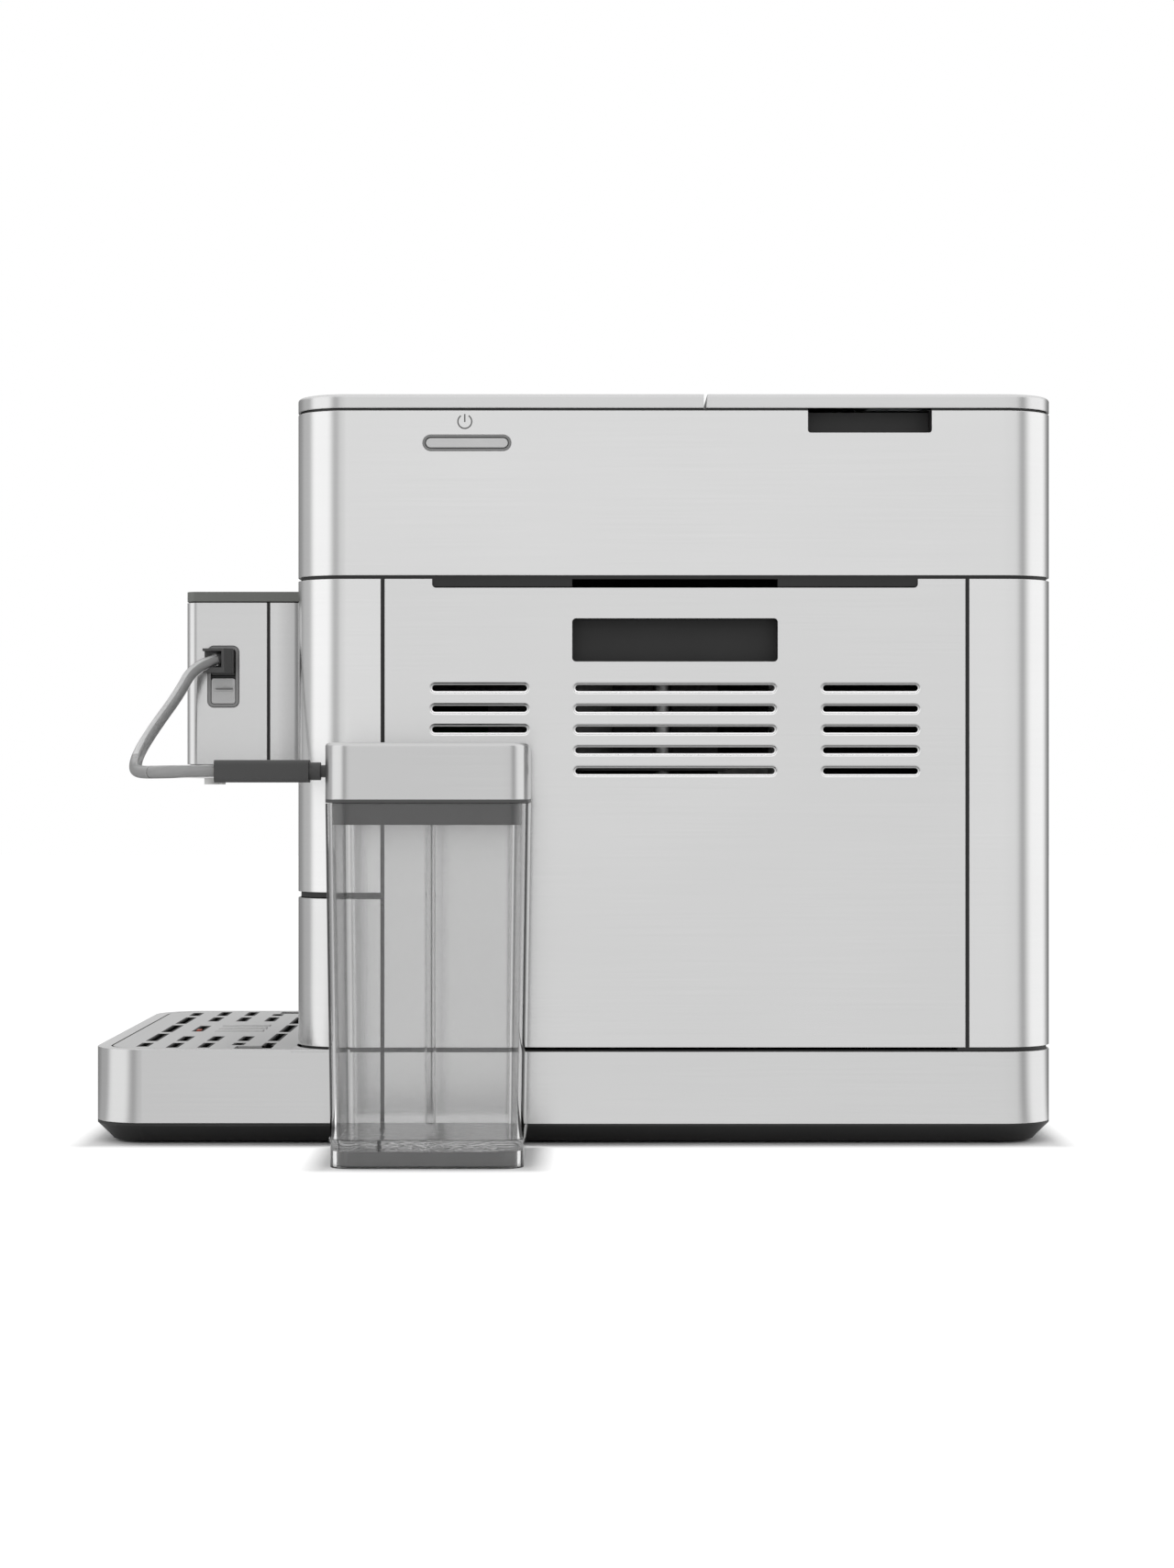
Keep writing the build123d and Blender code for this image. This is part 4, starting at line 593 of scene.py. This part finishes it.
def rolled_slots(t):
    """Depth of the edges that are rolled in round the door's slots, and the painted shade above each slot
    and painted highlight below it.
    """
    place = t.split(t.place())
    row = t.math("ROUND", t.math("DIVIDE", t.math("SUBTRACT", vent_top, place["Z"]), vent_pitch))
    row = t.math("MINIMUM", t.math("MAXIMUM", row, 0.0), vent_rows - 1)
    rise = t.math("SUBTRACT", place["Z"], t.math("MULTIPLY_ADD", row, -vent_pitch, vent_top))
    across = None
    for middle, half in vent_columns:
        past = t.past(place["Y"], middle, half - vent_half_height)
        across = past if across is None else t.math("MINIMUM", across, past)
    reach = t.distance(across, t.math("ABSOLUTE", rise))
    edge = t.math("SUBTRACT", reach, vent_half_height)
    left = t.math("SUBTRACT", 1.0, t.math("DIVIDE", edge, vent_roll))
    near = t.math("MULTIPLY", left, vent_roll_gain, clamp=True)
    depth = t.math("MULTIPLY", t.math("POWER", near, 2.0), -vent_roll_depth_share * vent_roll)
    above = t.math("DIVIDE", rise, reach)
    shade = t.math("MULTIPLY", t.math("MAXIMUM", above, 0.0), -vent_painted_shade)
    shine = t.math("MULTIPLY", t.math("MINIMUM", above, 0.0), -vent_painted_highlight)
    light = t.math("MULTIPLY_ADD", t.math("ADD", shade, shine), near, 1.0)
    return depth, light


# The grid's slots: rows from the front, each with the middles and half lengths of its slots to one side
grid_row_first = -227.0 * MM
grid_row_pitch = 16.4 * MM
grid_row_half = 1.8 * MM
grid_row_dark = 1.5 * MM
grid_half = 123.0 * MM
grid_edge_gain = 6.0
grid_edge_depth = 0.1 * MM
# Painted shade along the slots' edges, as a share of the grid's tone
grid_edge_painted_shade = 0.96
long_row = ((0.0, 0.18), (0.46, 0.18), (0.83, 0.08))
short_row = ((0.53, 0.11), (0.855, 0.105))
float_row = short_row + ((0.0, 0.145),)
notched_row = ((0.53, 0.11), (0.795, 0.045))
grid_rows = (long_row, float_row, short_row, notched_row, long_row)


def grid_slots(t):
    """Depth of the edges that are pressed down round the grid's slots, and the painted shade that darkens
    them.
    """
    place = t.split(t.place())
    side = t.math("ABSOLUTE", place["X"])
    nearest = None
    for index, row in enumerate(grid_rows):
        middle = grid_row_first + index * grid_row_pitch
        across = t.math("SUBTRACT", t.away_from(place["Y"], middle), grid_row_half)
        for centre, half in row:
            along = t.math("SUBTRACT", t.away_from(side, centre * grid_half), half * grid_half)
            away = t.math("MAXIMUM", across, along)
            nearest = away if nearest is None else t.math("MINIMUM", nearest, away)
    near = t.math("SUBTRACT", 1.0, t.math("DIVIDE", nearest, grid_row_dark), clamp=True)
    near = t.math("MULTIPLY", near, grid_edge_gain, clamp=True)
    depth = t.math("MULTIPLY", near, -grid_edge_depth)
    return depth, t.math("MULTIPLY_ADD", near, -grid_edge_painted_shade, 1.0)


# Brushing: how closely its marks lie along X, Y and Z, on upright faces and on lids
fine_upright = (22, 22, 5200)
fine_lid = (5200, 22, 5200)
streaks_upright = (9, 9, 1000)
streaks_lid = (900, 9, 900)
broad_marks = (9, 9, 16)
brush_detail = 3.0
brush_edge = 0.6
broad_detail = 2.0
# How far each kind of mark changes the tone
fine_share = 0.022
streak_share = 0.05
broad_share = 0.05
steel_roughness = 0.19
brush_rough_spread = 0.06
# Faces that look up are this rough
top_roughness = 0.42
brush_strength = 0.05
brush_depth = 0.2 * MM
steel_stretch = 0.8
# A small lean that keeps the brushing's direction from vanishing on faces square to it
lean_up = (0, 0, 0.001)
lean_back = 0.01


def varied(t, value, share):
    """A factor about 1 that a value from 0 to 1 moves by a share."""
    return t.math("MULTIPLY_ADD", value, share, 1 - share / 2)


def brushed_steel(name, color, lid=False, roughness=steel_roughness, slots=None, edge=0.4 * MM, painted_shade=None):
    """Steel brushed along the length of each face, with its sharp edges broken."""
    material, t = new_material(name)
    marks = fine_lid if lid else fine_upright
    bands = streaks_lid if lid else streaks_upright
    fine = t.noise(t.stretched(marks), 1.0, detail=brush_detail, roughness=brush_edge)
    streaks = t.noise(t.stretched(bands), 1.0, detail=brush_detail, roughness=brush_edge)
    broad = t.noise(t.stretched(broad_marks), 1.0, detail=broad_detail)
    tone = t.math("MULTIPLY_ADD", fine, 2 * fine_share, 1 - fine_share)
    tone = t.math("MULTIPLY", tone, varied(t, streaks, streak_share))
    tone = t.math("MULTIPLY", tone, varied(t, broad, broad_share))
    up = t.math("MAXIMUM", t.upward(), 0.0)
    rough = t.math("MULTIPLY_ADD", fine, brush_rough_spread, roughness - brush_rough_spread / 2)
    rough = t.math("MULTIPLY_ADD", up, top_roughness - roughness, rough)
    normal = t.broken_edge(edge)
    if slots is not None:
        # The slots give a depth for the bump, and a factor for the tone that carries their painted shade and
        # painted highlight
        depth, light = slots(t)
        tone = t.math("MULTIPLY", tone, light)
        normal = bump(t, None, depth, 1.0, 1.0, normal)
    # Painted shade: the tone darkens along Y, between two places, to a share of itself
    if painted_shade is not None:
        start, end, share = painted_shade
        along = t.math("DIVIDE", t.math("SUBTRACT", t.split(t.place())["Y"], start), end - start, clamp=True)
        tone = t.math("MULTIPLY", tone, t.math("MULTIPLY_ADD", along, share - 1, 1.0))
    base = t.scaled((color, color, color), tone)
    shader = principled(t, base, metallic=1.0, roughness=rough, anisotropic=steel_stretch)
    bump(t, shader, fine, brush_strength, brush_depth, normal)
    if lid:
        facing = t.add("ShaderNodeNewGeometry").outputs["Normal"]
        tangent = t.vector("ADD", t.vector("CROSS_PRODUCT", facing, (0, 1, 0)), lean_up)
    else:
        upright = t.add("ShaderNodeCombineXYZ")
        t.link(up, upright.inputs["X"])
        upright.inputs["Y"].default_value = lean_back
        upright.inputs["Z"].default_value = 1.0
        tangent = upright.outputs[0]
    t.link(tangent, shader.inputs["Tangent"])
    return material


# Moulded plastic: its grain, its patches, and how far they change tone and gloss
moulding_grain = 2600.0
moulding_grain_detail = 2.0
moulding_grain_depth = 0.1 * MM
moulding_patches = 35.0
moulding_patch_detail = 3.0
moulding_tone_share = 0.16
moulding_rough_spread = 0.12
moulding_edge = 0.3 * MM
# Behind its front, the port turns black over this depth: painted shade in its recess
sunk_depth = 0.8 * MM
sunk_painted_shade = 0.95


def moulded(name, color, roughness=0.45, texture=0.15):
    """Moulded plastic with a fine grain and its edges broken."""
    material, t = new_material(name)
    grain = t.noise(t.place(), moulding_grain, detail=moulding_grain_detail)
    patches = t.noise(t.place(), moulding_patches, detail=moulding_patch_detail)
    base = t.scaled(tuple(color), varied(t, patches, moulding_tone_share))
    spread = moulding_rough_spread
    rough = t.math("MULTIPLY_ADD", patches, spread, roughness - spread / 2)
    shader = principled(t, base, roughness=rough)
    bump(t, shader, grain, texture, moulding_grain_depth, t.broken_edge(moulding_edge))
    return material


def sunk_moulding(name, color, front):
    """Moulded plastic facing +X, with painted shade that turns it black from a little way behind its front.
    """
    material, t = new_material(name)
    into = t.math("DIVIDE", t.math("SUBTRACT", front, t.split(t.place())["X"]), sunk_depth, clamp=True)
    base = t.scaled(tuple(color), t.math("MULTIPLY_ADD", into, -sunk_painted_shade, 1.0))
    shader = principled(t, base, roughness=0.4)
    t.link(t.broken_edge(moulding_edge), shader.inputs["Normal"])
    return material


# How clear the container's wall is, by how edge on it is seen: painted shade that darkens it towards its
# edges
jar_edge_shade_stops = (
    (0.0, 0.96),
    (0.3, 0.94),
    (0.45, 0.74),
    (0.58, 0.32),
    (0.7, 0.08),
    (1.0, 0.03),
)


# Clear plastic: how closely its smears lie, and how rough they make it
smear_marks = (30, 30, 12)
smear_detail = 3.0
smear_roughness = 0.03
clear_ior = 1.49
# The container's level faces carry a grain
level_from = 0.7
jar_grain = 260.0
jar_grain_detail = 1.0
jar_grain_strength = 0.4
jar_grain_depth = 1 * MM


def clear(name, color, roughness=0.05, ior=clear_ior):
    material, t = new_material(name)
    smears = t.noise(t.stretched(smear_marks), 1.0, detail=smear_detail)
    rough = t.math("MULTIPLY_ADD", smears, smear_roughness, roughness)
    principled(t, color, roughness=rough, ior=ior, transmission_weight=1.0)
    return material


def jar_glass(name):
    """Clear, with painted shade that darkens it where the eye meets it edge on, and with a moulded grain on
    its level faces.
    """
    material, t = new_material(name)
    edge = t.add("ShaderNodeLayerWeight")
    edge.inputs["Blend"].default_value = 0.5
    color = t.ramp(edge.outputs["Facing"], jar_edge_shade_stops)
    level = t.math("GREATER_THAN", t.math("ABSOLUTE", t.upward()), level_from)
    grain = t.math("MULTIPLY", t.noise(t.place(), jar_grain, detail=jar_grain_detail), level)
    shader = principled(t, color, roughness=0.0, ior=clear_ior, transmission_weight=1.0)
    bump(t, shader, grain, jar_grain_strength, jar_grain_depth)
    return material


cast_grain = 900.0
cast_grain_detail = 4.0
cast_spread = 0.2
cast_strength = 0.2
cast_depth = 0.2 * MM


def cast_metal(name, color, roughness=0.5):
    """Bare metal with a grain that shows in its tone and its gloss."""
    material, t = new_material(name)
    grain = t.noise(t.place(), cast_grain, detail=cast_grain_detail)
    base = t.scaled(tuple(color), varied(t, grain, cast_spread))
    rough = t.math("MULTIPLY_ADD", grain, cast_spread, roughness - cast_spread / 2)
    shader = principled(t, base, roughness=rough, metallic=1.0)
    bump(t, shader, grain, cast_strength, cast_depth)
    return material


# One brushed steel in several tones: the differences in tone between these parts are painted light and shade
steel = brushed_steel("steel_skin", 0.705)
band_steel = brushed_steel("steel_band", 0.687, edge=0.7 * MM)
door_steel = brushed_steel("steel_door", 0.66, slots=rolled_slots)
drawer_steel = brushed_steel("steel_drawer", 0.64)
head_steel = brushed_steel("steel_head", 0.61)
# Painted shade: the head's rear part gets darker towards the machine, between two places along Y, to a share
# of its tone
head_painted_shade = (-163 * MM, -149 * MM, 0.62)
head_back_steel = brushed_steel("steel_head_back", 0.61, painted_shade=head_painted_shade)
skirt_steel = brushed_steel("steel_skirt", 0.64)
tray_steel = brushed_steel("steel_tray", 0.575, edge=0.6 * MM)
cover_steel = brushed_steel("steel_cover", 0.565, edge=0.6 * MM)
lid_steel = brushed_steel("steel_lids", 0.626, lid=True, edge=1.0 * MM)
grid_steel = brushed_steel("steel_grid", 0.52, lid=True, roughness=0.4, slots=grid_slots)
black = moulded("black_moulding", even(0.009), roughness=0.5)
pan = moulded("pan_moulding", even(0.005), roughness=0.5)
deck = moulded("deck_moulding", even(0.04), roughness=0.5)
recess = moulded("recess_moulding", even(0.009), roughness=0.5)
plug = moulded("plug_moulding", even(0.05))
dark = moulded("dark_moulding", even(0.06))
ring = moulded("bezel_ring", even(0.2), roughness=0.35, texture=0.05)
port = sunk_moulding("port_moulding", even(0.25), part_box("milk_port")[1].x)
satin = moulded("satin_button", even(0.55), roughness=0.3, texture=0.03)
grey = moulded("grey_moulding", even(0.15))
cap = moulded("cap_moulding", (0.14, 0.145, 0.135), roughness=0.35, texture=0.05)
light = moulded("light_moulding", (0.72, 0.72, 0.71), roughness=0.25, texture=0.03)
red = moulded("float_red", (0.55, 0.08, 0.03), roughness=0.3, texture=0.03)
rubber = moulded("foot_rubber", even(0.03), roughness=0.8)
# Painted shade for the hollow under the container
hollow_shade_grey = moulded("hollow_painted_shade", even(0.15), roughness=0.8)
print_grey = moulded("printed_sign", even(0.1), roughness=0.4, texture=0.02)
print_light = moulded("printed_icons", (0.55, 0.57, 0.6), roughness=0.4, texture=0.02)
hose_clear = clear("hose_clear", even(0.9), roughness=0.05, ior=1.41)
hose_painted_shade = moulded("hose_painted_shade", even(0.42), texture=0.0)
hose_painted_highlight = moulded("hose_painted_highlight", even(0.85), texture=0.0)
tube_clear = clear("tube_clear", even(0.93), roughness=0.0, ior=1.16)
jar_clear = jar_glass("jar_clear")
tank_clear = clear("tank_clear", (0.9, 0.93, 0.95))
hopper_clear = clear("hopper_tinted", (0.5, 0.45, 0.4))
glass_black = moulded("display", (0.004, 0.004, 0.005), roughness=0.08, texture=0.0)
alloy = cast_metal("cast_alloy", even(0.6))
motor = moulded("motor_case", (0.05, 0.05, 0.055), roughness=0.35)
brass = cast_metal("brass_parts", (0.7, 0.5, 0.2), roughness=0.35)
board = moulded("board", (0.02, 0.14, 0.05), roughness=0.4)
machined = cast_metal("steel_machined", even(0.6), roughness=0.35)
water_tube = moulded("water_hose", (0.7, 0.7, 0.68), roughness=0.3, texture=0.02)

node_materials = {
    steel: "front_panel rear_panel",
    drawer_steel: "drawer_front",
    band_steel: "upper_band",
    head_steel: "head_shell",
    head_back_steel: "head_back",
    door_steel: "service_door left_panel",
    skirt_steel: "base_skirt",
    tray_steel: "tray_skirt",
    cover_steel: "milk_lid_cover",
    lid_steel: "front_lid rear_lid",
    grid_steel: "drip_grid",
    black: "inner_frame drip_tub drawer_body grounds_container tank_cradle head_body head_rail",
    pan: "base_pan",
    deck: "top_deck",
    recess: "door_liner",
    dark: "milk_connector milk_lid_base mains_inlet brew_frame grinder_housing",
    plug: "hose_plug",
    ring: "power_bezel",
    satin: "power_button release_tab",
    grey: "brew_chamber lower_piston",
    port: "milk_port",
    cap: "head_cap",
    light: "coffee_spouts flow_meter burr_gear",
    red: "float",
    rubber: "base_feet",
    jar_clear: "milk_jar",
    tube_clear: "pickup_tube",
    tank_clear: "water_tank",
    hopper_clear: "bean_hopper",
    glass_black: "display_glass",
    alloy: "thermoblock panel_screws",
    motor: "water_pump brew_motor grinder_motor",
    brass: "motor_pinion",
    board: "control_board",
    machined: "upper_burr lower_burr drive_screw",
    water_tube: "water_hoses",
    hose_clear: "milk_hose_upper milk_hose_lower",
}


def dress(piece, material):
    piece.data.materials.clear()
    piece.data.materials.append(material)


for material, names in node_materials.items():
    for name in names.split():
        dress(nodes[name], material)


# The hose in three runs, cut at two places along its line

hose_seam = (126.25, -234.55, 195.0)
hose_turn = (169.5, -214.5, 194.1)


def make_hose():
    line = hose_line()
    cuts = []
    for place in (hose_seam, hose_turn):
        target = Vector(place) * MM
        cuts.append(min(range(len(line)), key=lambda index: (line[index] - target).length))
    seam, turn = cuts
    for name, points, body, follower, node in (
        ("hose_upper", line[: seam + 1], "head", "machine", "milk_hose_upper"),
        ("hose_lower", line[seam : turn + 1], "machine", "milk_lid", "milk_hose_lower"),
        ("hose_end", line[turn:], "milk_lid", "hose_plug", "milk_hose_lower"),
    ):
        piece = hollow_tube(name, points, hose_radius, hose_bore, hose_sides)
        for material in (hose_clear, hose_painted_shade, hose_painted_highlight):
            piece.data.materials.append(material)
        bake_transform(piece)
        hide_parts(node)


make_hose()


# Plates that close the tray beside the drawer's rounded corners

corner_plate_x = 131.0 * MM
corner_plate_front = -146.5 * MM
corner_plate_low = 48.6 * MM
corner_plate_high = 49.8 * MM
corner_plate_gap = 0.6 * MM
drawer_front_y = -145.5 * MM
drawer_corner = 27.0 * MM
corner_steps = 14


def make_corner_plates():
    centre_x = corner_plate_x - drawer_corner
    centre_y = drawer_front_y + drawer_corner
    reach = drawer_corner + corner_plate_gap
    outline = [
        (centre_x, corner_plate_front),
        (corner_plate_x, corner_plate_front),
        (corner_plate_x, centre_y),
    ]
    for step in range(1, corner_steps):
        angle = math.pi / 2 * step / corner_steps
        place = (centre_x + reach * math.cos(angle), centre_y - reach * math.sin(angle))
        if place[0] < corner_plate_x - corner_plate_gap and place[1] > corner_plate_front:
            outline.append(place)
    for name, side in (("tray_corner_right", 1), ("tray_corner_left", -1)):
        places = [(side * x, y) for x, y in outline]
        if side < 0:
            places.reverse()
        vertices, faces = flat_plate(places, corner_plate_low, corner_plate_high)
        piece = new_mesh(name, vertices, faces)
        dress(piece, tray_steel)
        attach(piece, "drawer")


make_corner_plates()


# Ridge across the release tab

ridge_y = (-195.9 * MM, -186.9 * MM)
ridge_z = (239.6 * MM, 240.5 * MM)
ridge_height = 0.5 * MM


def make_tab_ridge():
    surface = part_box("release_tab")[1].x
    low, high = surface - ridge_height, surface + ridge_height
    front, back = ridge_y
    outline = [(low, front), (high, front), (high, back), (low, back)]
    vertices, faces = flat_plate(outline, *ridge_z)
    piece = new_mesh("tab_ridge", vertices, faces)
    dress(piece, ring)
    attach(piece, "release_tab")


make_tab_ridge()


# Dark pad in the hollow under the container: painted shade

pad_middle = (185.75 * MM, -71.5 * MM)
pad_half = (36.0 * MM, 44.2 * MM)
pad_corner = 7.2 * MM
pad_low = 1.0 * MM
pad_high = 7.9 * MM
pad_corner_steps = 8


def make_jar_pad():
    outline = []
    for quarter, (right, back) in enumerate(((1, 1), (1, -1), (-1, -1), (-1, 1))):
        centre = (
            pad_middle[0] + right * (pad_half[0] - pad_corner),
            pad_middle[1] + back * (pad_half[1] - pad_corner),
        )
        outline += arc(centre, pad_corner, 90 * quarter, 90 * quarter + 90, pad_corner_steps)
    vertices, faces = flat_plate(outline[::-1], pad_low, pad_high)
    piece = new_mesh("jar_pad", vertices, faces)
    dress(piece, hollow_shade_grey)
    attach(piece, "machine")


make_jar_pad()


# Power sign above the button: a broken ring with a bar in its gap

sign_centre = (-56.4 * MM, 376.6 * MM)
sign_radius = 3.6 * MM
sign_stroke = 0.7 * MM
sign_gap = 34.0
sign_bar = (-0.3 * MM, 3.9 * MM)
sign_height = 0.04 * MM
sign_steps = 40


def make_power_sign():
    outer = arc(sign_centre, sign_radius + sign_stroke / 2, sign_gap, 360 - sign_gap, sign_steps)
    inner = arc(sign_centre, sign_radius - sign_stroke / 2, 360 - sign_gap, sign_gap, sign_steps)
    y, z = sign_centre
    low, high = sign_bar
    bar = [
        (y - sign_stroke / 2, z + low),
        (y + sign_stroke / 2, z + low),
        (y + sign_stroke / 2, z + high),
        (y - sign_stroke / 2, z + high),
    ]
    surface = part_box("upper_band")[1].x
    vertices, faces = side_strip([outer + inner, bar], surface - sign_height, surface + sign_height)
    piece = new_mesh("power_sign", vertices, faces)
    dress(piece, print_grey)
    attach(piece, "machine")


make_power_sign()


# Drink signs on the display: cups and glasses of several sizes, and a drop

icon_pitch = 34.0 * MM
icon_z = 340.0 * MM
icon_stroke = 0.7 * MM
icon_height = 0.04 * MM
cup = ((-4.5, 3.5), (-4.5, -1.0), (-2.5, -4.0), (2.5, -4.0), (4.5, -1.0), (4.5, 3.5), (-5.0, 3.5))
cup_handle = ((4.5, 2.0), (6.8, 2.0), (6.8, -0.8), (4.3, -1.6))
glass = ((-3.4, 6.5), (-2.4, -4.0), (2.4, -4.0), (3.4, 6.5), (-3.8, 6.5))
glass_line = ((-2.9, 1.0), (2.9, 1.0))
drop_left = ((0.0, 6.5), (-2.8, 1.5), (-3.4, -1.0), (-2.0, -3.6), (0.0, -4.2))
drop_right = ((2.0, -3.6), (3.4, -1.0), (2.8, 1.5), (0.0, 6.5))
drop = drop_left + drop_right
steam_left = ((-1.5, 5.0), (-0.8, 6.2), (-1.5, 7.4), (-0.8, 8.6))
steam_right = ((1.0, 5.0), (1.7, 6.2), (1.0, 7.4), (1.7, 8.6))
icons = (
    (0.75, (cup, cup_handle)),
    (1.1, (cup, cup_handle)),
    (1.0, (cup, cup_handle, steam_left, steam_right)),
    (1.0, (glass, glass_line)),
    (1.0, (drop,)),
)


def make_display_signs():
    outlines = []
    for index, (size, lines) in enumerate(icons):
        middle = (index - (len(icons) - 1) / 2) * icon_pitch
        for line in lines:
            places = [(middle + size * x * MM, icon_z + size * z * MM) for x, z in line]
            outlines.append(stroke(places, icon_stroke))
    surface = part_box("display_glass")[0].y
    vertices, faces = front_strip(outlines, surface + icon_height, surface - icon_height)
    piece = new_mesh("display_signs", vertices, faces)
    dress(piece, print_light)
    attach(piece, "machine")


make_display_signs()
